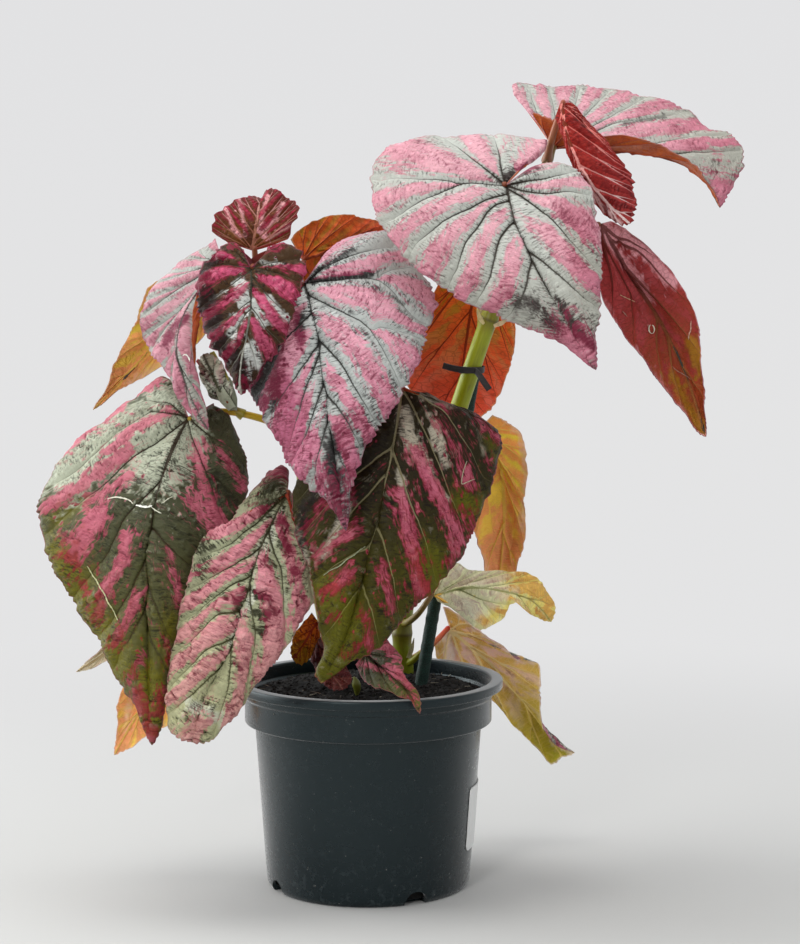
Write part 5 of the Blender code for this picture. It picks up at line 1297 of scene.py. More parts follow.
# The two canes with their petioles, as the CAD has them, and each one's colours from foot to tip
canes = {
    "cane_right": {
        "path": [(404, 668, 38), (402, 640, 36), (406, 596, 33), (418, 540, 30), (436, 476, 27),
                 (459, 407, 22), (472, 368, 18), (489, 319, 14), (516, 252, 8), (535, 200, 3),
                 (549, 156, 0)],
        "radii": [6.2, 6.0, 5.9, 5.8, 5.8, 5.7, 5.6, 5.4, 4.6, 4.0, 3.0],
        "colours": [(0.150, 0.190, 0.006), (0.215, 0.262, 0.002), (0.275, 0.336, 0.001),
                    (0.250, 0.290, 0.006), (0.150, 0.130, 0.020)],
        "nodes": [(402, 634), (418, 540), (448, 440), (489, 320), (520, 242)],
        "shoot": [(404, 665, 37), (413, 660, 30), (422, 651, 25)],
        "shootRadii": [2.6, 2.3, 1.2],
        "petioles": {
            "leaf_top_front": [(538, 192, 2), (522, 190, -24)],
            "leaf_top_back": [(548, 158, 0)],
            "leaf_top_young": [(547, 161, 0), (550, 146, -8), (557, 122, -13)],
            "leaf_right_hanging": [(520, 242, 7), (556, 226, 6)],
            "leaf_behind_stake": [(481, 334, 16), (481, 300, 30)],
            "leaf_front_right": [(448, 440, 24), (426, 424, -8), (408, 400, -40)],
            "leaf_right_back": [(448, 440, 24), (462, 430, 13), (474, 428, 20)],
            "leaf_pale_twisted": [(403, 624, 35), (411, 620, 12), (422, 609, -6)],
            "leaf_right_low": [(404, 664, 38), (420, 654, 58), (436, 641, 76)]}},
    "cane_left": {
        "path": [(340, 684, 0), (330, 640, -3), (318, 580, -6), (309, 520, -8), (301, 450, -10),
                 (292, 400, -12), (278, 345, -15), (263, 292, -18)],
        "radii": [5.4, 5.2, 5.0, 5.0, 4.9, 4.6, 4.0, 2.8],
        "colours": [(0.160, 0.140, 0.020), (0.240, 0.220, 0.012), (0.260, 0.250, 0.008),
                    (0.200, 0.140, 0.020)],
        "nodes": [(330, 640), (309, 522), (299, 434), (292, 398), (265, 300)],
        "shoot": [],
        "shootRadii": [],
        "petioles": {
            "leaf_crown_upright": [(264, 296, -18), (257, 272, -24)],
            "leaf_crown_front": [(264, 296, -18), (254, 284, -36)],
            "leaf_center_large": [(292, 398, -12), (300, 345, -20), (303, 305, -26)],
            "leaf_left_crumpled": [(243, 415, -18), (232, 408, -20)],
            "leaf_left_folded": [(266, 302, -18), (243, 276, -17)],
            "leaf_left_back": [(270, 318, -17), (240, 306, -8)],
            "leaf_behind_middle": [(264, 298, -18), (282, 276, 2)],
            "leaf_left_large": [(299, 434, -11), (266, 420, -16), (230, 412, -20), (206, 412, -26)],
            "leaf_low_middle": [(309, 522, -8), (298, 508, -30)],
            "leaf_left_low_back": [(322, 600, -5), (262, 596, -2), (216, 610, 0)],
            "leaf_left_pale_back": [(312, 550, -7), (240, 556, 4), (184, 578, 8)],
            "leaf_soil_small": [(336, 664, -1), (346, 646, -24), (356, 646, -42)],
            "leaf_basal_olive": [(330, 645, -3), (326, 632, -12)],
            "leaf_basal_maroon": [(334, 662, -2), (326, 648, -6)]}},
}
# A petiole's colour at the cane and at the blade
petioleColours = {
    "usual": [(0.230, 0.210, 0.015), (0.200, 0.045, 0.018)],
    "leaf_left_large": [(0.420, 0.290, 0.006), (0.400, 0.270, 0.010)],
    "leaf_top_back": [(0.250, 0.200, 0.060), (0.330, 0.240, 0.110)],
    "leaf_top_young": [(0.270, 0.110, 0.040), (0.300, 0.060, 0.030)],
    "leaf_pale_twisted": [(0.200, 0.170, 0.020), (0.190, 0.120, 0.035)],
    "leaf_right_low": [(0.260, 0.200, 0.020), (0.420, 0.020, 0.008)],
    "leaf_front_right": [(0.200, 0.130, 0.020), (0.170, 0.060, 0.035)],
    "leaf_center_large": [(0.160, 0.090, 0.020), (0.110, 0.020, 0.014)],
}
stem = {"depth": 0.0250, "petioleRadius": 0.0026, "petioleTip": 0.0017, "sides": 20, "petioleSides": 12,
        "spacing": 0.0016, "petioleSpacing": 0.0020, "collar": 0.0011, "collarReach": 0.0040}
# A joint swells over its reach, with a pale brown band above it and a dark ring: (colour, share, reach)
joint = {"swell": 0.0007, "reach": 0.0030, "bandFrom": 0.003,
         "band": ((0.13, 0.085, 0.012), 0.50, 0.0040), "ring": ((0.060, 0.030, 0.008), 0.75, 0.0011)}


def tubeTree():
    # paths with a thickness at every point become round stems
    group = bpy.data.node_groups.new("roundStems", "GeometryNodeTree")
    face = group.interface
    face.new_socket(name="Paths", in_out="INPUT", socket_type="NodeSocketGeometry")
    sockets = {"sides": face.new_socket(name="Sides", in_out="INPUT", socket_type="NodeSocketInt"),
               "skin": face.new_socket(name="Skin", in_out="INPUT", socket_type="NodeSocketMaterial")}
    face.new_socket(name="Stems", in_out="OUTPUT", socket_type="NodeSocketGeometry")
    tree = Tree(group)
    given = tree.node("NodeGroupInput")
    paths = tree.node("GeometryNodeMeshToCurve", {}, {"Mesh": given.other("Paths")})
    ring = tree.node("GeometryNodeCurvePrimitiveCircle", {"mode": "RADIUS"},
                     {"Resolution": given.other("Sides"), "Radius": 1.0})
    ring = tree.node("GeometryNodeStoreNamedAttribute", {"data_type": "FLOAT_VECTOR", "domain": "POINT"},
                     {"Geometry": ring, "Name": "round", "Value": tree.node("GeometryNodeInputPosition")})
    thick = tree.node("GeometryNodeInputNamedAttribute", {"data_type": "FLOAT"}, {"Name": "thick"})
    stems = tree.node("GeometryNodeCurveToMesh", {}, {"Curve": paths, "Profile Curve": ring, "Scale": thick,
                                                      "Fill Caps": True})
    stems = tree.node("GeometryNodeSetShadeSmooth", {}, {"Geometry": stems})
    stems = tree.node("GeometryNodeRealizeInstances", {}, {"Geometry": stems})
    stems = tree.node("GeometryNodeSetMaterial", {}, {"Geometry": stems, "Material": given.other("Skin")})
    tree.node("NodeGroupOutput", {}, {"Stems": stems})
    return group, {name: socket.identifier for name, socket in sockets.items()}


stemGroup, stemNames = tubeTree()


def tubes(name, paths, material, sides):
    # each path is its points, its radii and its colours
    points = []
    edges = []
    thick = []
    skin = []
    along = []
    for places, radii, colours in paths:
        start = len(points)
        points.extend(places.tolist())
        edges.extend((start + k, start + k + 1) for k in range(len(places) - 1))
        thick.extend(radii)
        skin.extend(colours.tolist())
        along.extend(travelled(places) * 1000)
    mesh = bpy.data.meshes.new(name)
    mesh.from_pydata(points, edges, [])
    mesh.attributes.new("thick", "FLOAT", "POINT").data.foreach_set("value", np.array(thick, np.float32))
    mesh.attributes.new("along", "FLOAT", "POINT").data.foreach_set("value", np.array(along, np.float32))
    table = np.ones((len(points), 4), np.float32)
    table[:, :3] = skin
    mesh.attributes.new("skinColour", "FLOAT_COLOR", "POINT").data.foreach_set("color", table.ravel())
    made = newObject(name, mesh)
    modifier = made.modifiers.new("Stems", "NODES")
    modifier.node_group = stemGroup
    modifier[stemNames["sides"]] = sides
    modifier[stemNames["skin"]] = material
    bakeModifiers(made)
    return made


def mixedColours(stops, count):
    stops = np.array(stops, float)
    at = np.linspace(0, len(stops) - 1, count)
    return np.stack([np.interp(at, np.arange(len(stops)), stops[:, k]) for k in range(3)], axis=1)


def caneLine(cane):
    # a cane's fine line and radii, from inside the soil to its top
    points = [seen(*place) for place in cane["path"]]
    foot = points[0] - unit(points[1] - points[0]) * stem["depth"]
    points = [foot] + points
    radii = [cane["radii"][0]] + list(cane["radii"])
    length = gaps(points).sum()
    at = np.linspace(0, 1, int(length / stem["spacing"]))
    line = smooth(points, at)
    thick = smooth([(r / 1000, i * 0.05, 0.0) for i, r in enumerate(radii)], at)[:, 0]
    return line, thick


def canePaths(cane):
    line, thick = caneLine(cane)
    places = pictured(line)
    colours = mixedColours(cane["colours"], len(line))
    for node in cane["nodes"]:
        away = np.linalg.norm(line - line[np.linalg.norm(places - node, axis=1).argmin()], axis=1)
        thick = thick + joint["swell"] * np.exp(-(away / joint["reach"]) ** 2)
        for mark, apart in (("band", away - joint["bandFrom"]), ("ring", away)):
            colour, share, reach = joint[mark]
            near = np.exp(-(apart / reach) ** 2)[:, None]
            colours = colours * (1 - share * near) + np.array(colour) * share * near
    cap = unit(line[-1] - line[-2]) * thick[-1]
    line = np.vstack([line, line[-1] + cap * 0.5, line[-1] + cap * 0.85, line[-1] + cap])
    thick = np.concatenate([thick, thick[-1] * np.array([0.87, 0.53, 0.10])])
    colours = np.vstack([colours, colours[-1:], colours[-1:], colours[-1:]])
    paths = [(line, thick, colours)]
    if cane["shoot"]:
        shoot = smooth([seen(*place) for place in cane["shoot"]], np.linspace(0, 1, 16))
        radii = np.interp(np.linspace(0, 2, 16), [0, 1, 2], np.array(cane["shootRadii"]) / 1000)
        radii[-2:] = radii[-2:] * np.array([0.8, 0.35])
        paths.append((shoot, radii, mixedColours([(0.20, 0.26, 0.004), (0.28, 0.27, 0.02)], 16)))
    return paths


def petiolePaths(cane):
    paths = []
    for leaf, route in cane["petioles"].items():
        surface = bladeSurfaces[leaf]
        tip = surface["base"] + surface["under"] * (stem["petioleTip"] * 0.85)
        points = [seen(*place) for place in route] + [tip]
        length = gaps(points).sum()
        count = max(10, int(length / stem["petioleSpacing"]))
        at = np.linspace(0, 1, count)
        line = smooth(points, at)
        radii = stem["petioleRadius"] + (stem["petioleTip"] - stem["petioleRadius"]) * at
        radii = radii + stem["collar"] * np.exp(-(at * length / stem["collarReach"]) ** 2)
        colours = mixedColours(petioleColours.get(leaf, petioleColours["usual"]), count)
        ahead = unit(line[-1] - line[-2]) * stem["petioleTip"]
        line = np.vstack([line, line[-1] + ahead * 0.55, line[-1] + ahead * 0.8])
        radii = np.concatenate([radii, radii[-1] * np.array([0.75, 0.3])])
        paths.append((line, radii, np.vstack([colours, colours[-1:], colours[-1:]])))
    return paths


def stemMaterial():
    # a smooth green skin with fine lengthwise streaks, small pale breathing spots and a brown blush
    made, tree, shader = newMaterial("stemSkin")
    # round is the place on the ring, and along is how far up the stem in mm
    around = tree.stretch(tree.field("round"), (2.6, 2.6, 0.0))
    along = tree.node("ShaderNodeCombineXYZ", {}, {2: tree.field("along", "Fac") * 0.05})
    place = tree.node("ShaderNodeVectorMath", {"operation": "ADD"}, {0: around, 1: along})
    streak = tree.noise(place, 1.6, 3.0, 0.6)
    fine = tree.noise(tree.stretch(place, (4.0, 4.0, 3.0)), 1.5, 2.0, 0.5)
    blotch = tree.noise(tree.stretch(place, (0.5, 0.5, 2.0)), 1.0, 2.0, 0.5)
    spots = tree.node("ShaderNodeTexVoronoi", {"feature": "F1"},
                      {"Vector": tree.stretch(place, (1.3, 1.3, 9.0)), "Scale": 1.4})
    base = tree.paint("skin")
    colour = tree.blend(0.8, base, tree.grey(0.45 + streak * 0.75 + fine * 0.35), "MULTIPLY")
    colour = tree.blend(tree.step(blotch, 0.52, 0.75) * 0.35, colour, (0.16, 0.10, 0.014))
    colour = tree.blend(tree.step(0.10 - spots, 0.0, 0.05) * 0.5, colour, (0.42, 0.44, 0.12))
    finishShader(tree, shader, colour, 0.30 + streak * 0.14,
                 tree.bump(streak * 0.8 + fine * 0.5, 0.35, 0.0003), {"IOR": 1.45})
    return made


stemSkin = stemMaterial()
for caneName, cane in canes.items():
    stalk = tubes(caneName + "_stalk", canePaths(cane), stemSkin, stem["sides"])
    settle(stalk, "cane", caneName)
    leafStalks = tubes(caneName + "_petioles", petiolePaths(cane), stemSkin, stem["petioleSides"])
    settle(leafStalks, "cane", caneName)
    print("cane", caneName)

# Thin papery pieces at the joints: (points, widths in mm, colour), all placed as (across, down, depth)
stipules = {
    "stipule_left": [[(484, 324, 9), (479, 316, 8), (477, 308, 8)], [1.6, 3.2, 0.5], (0.62, 0.55, 0.26)],
    "stipule_right": [[(494, 326, 9), (503, 322, 7), (511, 315, 6)], [2.0, 3.0, 0.6], (0.64, 0.52, 0.30)],
    "stipule_foot": [[(408, 658, 30), (412, 648, 28), (414, 638, 28)], [2.2, 3.0, 0.5], (0.52, 0.50, 0.28)],
    "stipule_tip": [[(548, 158, -4), (541, 168, -6), (533, 176, -6)], [1.6, 2.6, 0.5], (0.40, 0.30, 0.16)],
    "bract_left": [[(249, 269, -40), (240, 257, -50), (228, 245, -50)],
                  [6.0, 10.0, 3.0], (0.26, 0.016, 0.04)],
    "bract_right": [[(253, 269, -40), (264, 258, -50), (278, 249, -50)],
                  [6.0, 10.0, 3.0], (0.22, 0.030, 0.020)],
    "bract_folded": [[(232, 408, -24), (222, 394, -30), (215, 376, -30)],
                  [5.0, 7.0, 2.5], (0.42, 0.46, 0.34)],
    "bract_olive": [[(226, 384, -26), (217, 366, -29), (212, 352, -27)],
                  [5.0, 8.0, 3.0], (0.34, 0.30, 0.045)],
    "bract_red": [[(212, 378, -27), (204, 366, -29), (197, 360, -27)], [4.5, 6.0, 2.0], (0.60, 0.10, 0.12)],
    "bract_pale": [[(234, 410, -22), (233, 396, -27), (229, 378, -27)], [4.0, 5.0, 1.5], (0.20, 0.22, 0.15)],
}


paperThick = 0.0003


def faceOut(mesh, merge=0.0):
    # points closer than this become one, and the faces turn outward
    work = bmesh.new()
    work.from_mesh(mesh)
    if merge:
        bmesh.ops.remove_doubles(work, verts=work.verts, dist=merge)
    bmesh.ops.recalc_face_normals(work, faces=work.faces)
    work.to_mesh(mesh)
    work.free()


def paperPiece(name, line, widths, across, material, slot):
    # a thin strip along a line, curled a little across its width, closed all round
    line = np.array(line)
    widths = np.array(widths)[:, None]
    along = np.gradient(line, axis=0)
    side = np.cross(along, across)
    side = side / np.maximum(np.linalg.norm(side, axis=1, keepdims=True), 1e-9)
    out = np.cross(side, along)
    out = out / np.maximum(np.linalg.norm(out, axis=1, keepdims=True), 1e-9)
    rings = []
    for place, lift in ((-0.5, 0.20), (-0.25, 0.05), (0.0, 0.0), (0.25, 0.05), (0.5, 0.20)):
        rings.append(line + side * widths * place - out * widths * lift)
    top = np.stack(rings, axis=1)
    count = len(line)
    points = np.concatenate([(top + out[:, None] * paperThick / 2).reshape(-1, 3),
                             (top - out[:, None] * paperThick / 2).reshape(-1, 3)])
    faces = []
    n = count * 5
    for i in range(count - 1):
        for k in range(4):
            a = i * 5 + k
            faces.append((a, a + 1, a + 6, a + 5))
            faces.append((n + a, n + a + 5, n + a + 6, n + a + 1))
        a = i * 5
        faces.append((a, a + 5, n + a + 5, n + a))
        a = i * 5 + 4
        faces.append((a + 5, a, n + a, n + a + 5))
    for i in (0, count - 1):
        for k in range(4):
            a = i * 5 + k
            faces.append((a, n + a, n + a + 1, a + 1) if i == 0 else (a + 1, n + a + 1, n + a, a))
    mesh = bpy.data.meshes.new(name)
    mesh.from_pydata(points.tolist(), [], faces)
    faceOut(mesh)
    mesh.materials.append(material)
    piece = newObject(name, mesh)
    softEdges(piece, 60)
    settle(piece, slot)


def paperMaterial(name, colour, rough):
    made, tree, shader = newMaterial(name)
    place = tree.onObject()
    fibre = tree.noise(tree.stretch(place, (1500.0, 1500.0, 300.0)), 1.0, 2.0, 0.5)
    mottle = tree.noise(place, 400.0, 2.0, 0.5)
    tinted = tree.blend(tree.step(mottle, 0.45, 0.7) * 0.5, colour, tuple(0.55 * c for c in colour))
    tinted = tree.blend(0.5, tinted, tree.grey(0.6 + fibre * 0.7), "MULTIPLY")
    finishShader(tree, shader, tinted, rough + fibre * 0.15, tree.bump(fibre, 0.4, 0.0002), {})
    return made


for stipuleName, (route, widths, colour) in stipules.items():
    at = np.linspace(0, 1, 14)
    line = smooth([seen(*place) for place in route], at)
    wide = np.interp(at, [0, 0.4, 1], np.array(widths) / 1000)
    paper = paperMaterial(stipuleName + "Paper", colour, 0.5)
    paperPiece(stipuleName, line, wide, (0.0, 1.0, 0.1), paper, "cane")

# Old scratches and drips that have dried pale on the blades: (blade, pixel line, width in mm, colour)
scratches = [
    ("leaf_left_large", [(106, 499), (117, 496), (128, 499), (134, 504)], 1.0, (0.78, 0.76, 0.62)),
    ("leaf_left_large", [(135, 505), (143, 507), (153, 505)], 1.6, (0.80, 0.80, 0.72)),
    ("leaf_left_large", [(150, 507), (162, 513)], 0.8, (0.70, 0.70, 0.56)),
    ("leaf_left_large", [(160, 503), (168, 498), (174, 497)], 0.7, (0.62, 0.62, 0.48)),
    ("leaf_left_large", [(86, 565), (98, 584), (108, 603), (118, 620)], 0.8, (0.56, 0.56, 0.30)),
    ("leaf_front_right", [(468, 460), (464, 472), (462, 485), (470, 481), (476, 479)], 0.7,
     (0.42, 0.38, 0.26)),
    ("leaf_front_right", [(367, 546), (352, 556), (338, 566), (322, 575)], 0.7, (0.30, 0.33, 0.20)),
    ("leaf_right_hanging", [(620, 295), (630, 299), (637, 303)], 0.7, (0.62, 0.36, 0.22)),
    ("leaf_right_hanging", [(622, 310), (629, 317)], 0.5, (0.50, 0.26, 0.20)),
    ("leaf_right_hanging", [(690, 320), (690, 331), (688, 341)], 0.8, (0.70, 0.44, 0.34)),
    ("leaf_right_hanging", [(672, 366), (682, 374), (691, 380)], 0.6, (0.56, 0.30, 0.22)),
    ("leaf_left_folded", [(181, 356), (186, 352), (190, 362)], 1.0, (0.80, 0.78, 0.72)),
]


def onBlade(name, across, down, lift):
    # the point of a blade's showing face at this pixel, and its normal
    surface = bladeSurfaces[name]
    gap = np.linalg.norm(surface["places"] - np.array([across, down]), axis=1)
    near = np.where(gap < gap.min() + 1.2)[0]
    best = near[surface["points"][near, 1].argmin()]
    return surface["points"][best] + surface["normals"][best] * lift, surface["normals"][best]


for k, (bladeName, route, wide, colour) in enumerate(scratches):
    route = np.array(route, float)
    at = travelled(route)
    steps = np.linspace(0, at[-1], max(6, int(at[-1] / 1.6)))
    found = [onBlade(bladeName, np.interp(step, at, route[:, 0]), np.interp(step, at, route[:, 1]), 0.00025)
             for step in steps]
    line = np.array([point for point, _ in found])
    line = np.stack([np.convolve(np.pad(line[:, axis], 2, mode="edge"), np.ones(5) / 5, mode="valid")
                     for axis in range(3)], axis=1)
    normal = np.mean([direction for _, direction in found], axis=0)
    ends = np.sin(np.linspace(0.25, math.pi - 0.25, len(line))) ** 0.6
    rough = 0.8 + 0.3 * np.sin(np.arange(len(line)) * 2.3 + k)
    paper = paperMaterial(f"scarPaper{k}", colour, 0.45)
    paperPiece(f"scar_{k}", line, wide / 1000 * ends * rough, -normal, paper, leafLooks[bladeName]["slot"])

# The dried ring on the hanging blade
blister = {"blade": "leaf_right_hanging", "middle": (652.5, 329.0), "radius": 0.0021, "thick": 0.00055,
           "tall": 1.35, "colour": (0.86, 0.84, 0.66)}
middle, normal = onBlade(blister["blade"], *blister["middle"], 0.0003)
side = unit(np.cross(normal, (0, 0, 1)))
rise = np.cross(side, normal)
turn = np.linspace(0, 2 * math.pi * 0.93, 40)
ringLine = (middle + np.outer(np.cos(turn + 1.9) * blister["radius"], side)
            + np.outer(np.sin(turn + 1.9) * blister["radius"] * blister["tall"], rise))
ringThick = blister["thick"] * (0.75 + 0.35 * np.sin(turn * 1.5 + 0.6))
ringThick = ringThick * np.sin(np.linspace(0.15, 3.0, len(turn))) ** 0.4
ring = tubes("blister_ring", [(ringLine, ringThick, mixedColours([blister["colour"]] * 2, len(turn)))],
             paperMaterial("blisterPaper", blister["colour"], 0.4), 10)
settle(ring, "leaf_under")
print("stipules and scars")

# The pot, turned from its profile with soft corners
pot = {"rim": 0.0847, "height": 0.1305, "lip": 0.0055, "collar": 0.0790, "stepZ": 0.1200,
       "collarLow": 0.0777, "collarBottom": 0.1035, "bodyTop": 0.0714, "base": 0.0640, "wall": 0.0017,
       "floor": 0.0024, "notch": 0.0076, "notchAngles": (28, 118, 208, 298), "sides": 192,
       "round": 0.0007}
# Points closer than this are joined
weld = 0.000005


def bodyRadius(z):
    return pot["base"] + (pot["bodyTop"] - pot["base"]) * z / pot["collarBottom"]


def roundedProfile(corners, radius):
    # the profile with a small arc at each corner
    corners = np.array(corners)
    made = [corners[0]]
    for before, corner, after in zip(corners[:-2], corners[1:-1], corners[2:]):
        back = before - corner
        ahead = after - corner
        cut = min(radius, 0.45 * np.linalg.norm(back), 0.45 * np.linalg.norm(ahead))
        start = corner + unit(back) * cut
        end = corner + unit(ahead) * cut
        for t in np.linspace(0, 1, 5):
            made.append(start * (1 - t) ** 2 + corner * 2 * t * (1 - t) + end * t * t)
    made.append(corners[-1])
    return np.array(made)


def turnedPiece(name, profile, sides):
    # a profile of (radius, height) turned about the pot's axis
    mesh = bpy.data.meshes.new(name)
    mesh.from_pydata([(r, 0.0, z) for r, z in profile], [(k, k + 1) for k in range(len(profile) - 1)], [])
    made = newObject(name, mesh)
    screw = made.modifiers.new("Turn", "SCREW")
    screw.steps = sides
    screw.render_steps = sides
    screw.use_merge_vertices = True
    screw.merge_threshold = weld * 2
    bakeModifiers(made)
    faceOut(made.data, weld)
    return made


lipBottom = pot["height"] - pot["lip"]
innerTop = pot["collar"] - pot["wall"]
# from the floor's middle up the inside, over the lip and down the outside
potProfile = [
    (0.0, pot["floor"]), (bodyRadius(pot["floor"]) - pot["wall"] - 0.0020, pot["floor"]),
    (bodyRadius(0.006) - pot["wall"], 0.0060),
    (bodyRadius(pot["collarBottom"]) - pot["wall"], pot["collarBottom"]),
    (pot["collarLow"] - pot["wall"], pot["collarBottom"] + 0.0040),
    (pot["collarLow"] - pot["wall"], pot["stepZ"]),
    (innerTop, pot["stepZ"] + 0.0015), (innerTop, pot["height"]), (pot["rim"], pot["height"]),
    (pot["rim"], lipBottom), (pot["collar"], lipBottom), (pot["collar"], pot["stepZ"] + 0.0008),
    (pot["collarLow"], pot["stepZ"] - 0.0004), (pot["collarLow"], pot["collarBottom"] + 0.0008),
    (pot["collarLow"] - 0.0012, pot["collarBottom"]), (pot["bodyTop"], pot["collarBottom"]),
    (bodyRadius(0.0030), 0.0030), (pot["base"] - 0.0014, 0.0), (0.0, 0.0)]
potPiece = turnedPiece("pot_shell", roundedProfile(potProfile, pot["round"] * 1.6), pot["sides"])
cutters = []
for angle in pot["notchAngles"]:
    spin = Matrix.Rotation(math.radians(angle - 90), 4, "Z")
    work = bmesh.new()
    bmesh.ops.create_cone(work, cap_ends=True, segments=48, radius1=pot["notch"], radius2=pot["notch"],
                          depth=0.018, matrix=spin @ Matrix.Translation((pot["base"], 0.0, 0.0007))
                          @ Matrix.Rotation(math.radians(90), 4, "Y"))
    mesh = bpy.data.meshes.new("notch")
    work.to_mesh(mesh)
    work.free()
    cutter = newObject("notch", mesh)
    cutters.append(cutter)
    cut = potPiece.modifiers.new("Notch", "BOOLEAN")
    cut.operation = "DIFFERENCE"
    cut.object = cutter
bakeModifiers(potPiece)
for cutter in cutters:
    bpy.data.objects.remove(cutter, do_unlink=True)


def potMaterial():
    # glossy black moulded plastic, with faint flow marks and dust low down
    made, tree, shader = newMaterial("potPlastic")
    place = tree.onObject()
    height = tree.split(place)[2]
    flow = tree.noise(tree.stretch(place, (18.0, 18.0, 60.0)), 1.0, 3.0, 0.6)
    fine = tree.noise(place, 900.0, 2.0, 0.5)
    dust = tree.noise(place, 240.0, 3.0, 0.7)
    specks = tree.node("ShaderNodeTexVoronoi", {"feature": "F1"}, {"Vector": place, "Scale": 420.0})
    low = tree.step(0.045 - height, 0.0, 0.045)
    lip = tree.step(height, 0.1275, 0.1300)
    dusty = tree.step(dust, 0.50, 0.75) * (0.10 + low * 0.30)
    colour = tree.blend(dusty, (0.0008, 0.0042, 0.0062), (0.050, 0.062, 0.066))
    dots = tree.step(0.16 - specks, 0.0, 0.05) * tree.step(dust, 0.56, 0.62) * (0.25 + low * 0.6)
    colour = tree.blend(dots, colour, (0.30, 0.29, 0.26))
    finishShader(tree, shader, colour, 0.20 + flow * 0.12 + dusty * 0.35 + lip * 0.12,
                 tree.bump(fine * 0.4 + flow * 0.6, 0.10, 0.0003),
                 {"IOR": 1.46, "Specular Tint": (0.80, 0.97, 1.0, 1.0), "Sheen Weight": 0.48,
                  "Sheen Roughness": 0.33})
    return made


potPlastic = potMaterial()
potPiece.data.materials.clear()
potPiece.data.materials.append(potPlastic)
softEdges(potPiece, 30)
settle(potPiece, "pot", "pot")
print("pot")

# The potting mix: a lumpy dome with crumbs, chips and straws strewn over it
soil = {"edgeZ": 0.1180, "middleZ": 0.1290, "rings": 70, "sides": 220, "crumbs": 95000.0, "chips": 14000.0,
        "straws": 9000.0, "seed": 7, "lump": 0.0013}


def roundFaces(rings, sides):
    # a fan about the first point, then strips from ring to ring
    ahead = [(k + 1) % sides for k in range(sides)]
    faces = [(0, 1 + k, 1 + ahead[k]) for k in range(sides)]
    for ring in range(rings - 1):
        a = 1 + ring * sides
        b = a + sides
        faces.extend((a + k, b + k, b + ahead[k], a + ahead[k]) for k in range(sides))
    return faces


def soilMesh():
    wall = pot["collarLow"] - pot["wall"] - 0.0003
    angles = np.linspace(0, 2 * math.pi, soil["sides"], endpoint=False)
    rings = []
    for share in np.linspace(0, 1, soil["rings"])[1:]:
        radius = wall * share
        z = soil["edgeZ"] + (soil["middleZ"] - soil["edgeZ"]) * max(0.0, 1 - share * share) ** 0.65
        ring = np.stack([radius * np.cos(angles), radius * np.sin(angles), np.full(len(angles), z)], axis=1)
        lump = swell(ring, 0.011, 21) * 0.55 + swell(ring, 0.0045, 22) * 0.45 + swell(ring, 0.024, 23) * 0.6
        ring[:, 2] += soil["lump"] * lump * min(1, (1 - share) * 12)
        rings.append(ring)
    for radius, z in ((wall, 0.1085), (pot["bodyTop"] - pot["wall"] - 0.0003, 0.1035), (0.0605, 0.0030)):
        level = np.full(len(angles), z)
        rings.append(np.stack([radius * np.cos(angles), radius * np.sin(angles), level], axis=1))
    points = np.concatenate([[(0.0, 0.0, soil["middleZ"])]] + rings + [[(0.0, 0.0, 0.0030)]])
    n = len(angles)
    faces = roundFaces(len(rings), n)
    last = len(points) - 1
    faces.extend((last - n + k, last, last - n + (k + 1) % n) for k in range(n))
    mesh = bpy.data.meshes.new("soil_top")
    mesh.from_pydata(points.tolist(), [], faces)
    return mesh


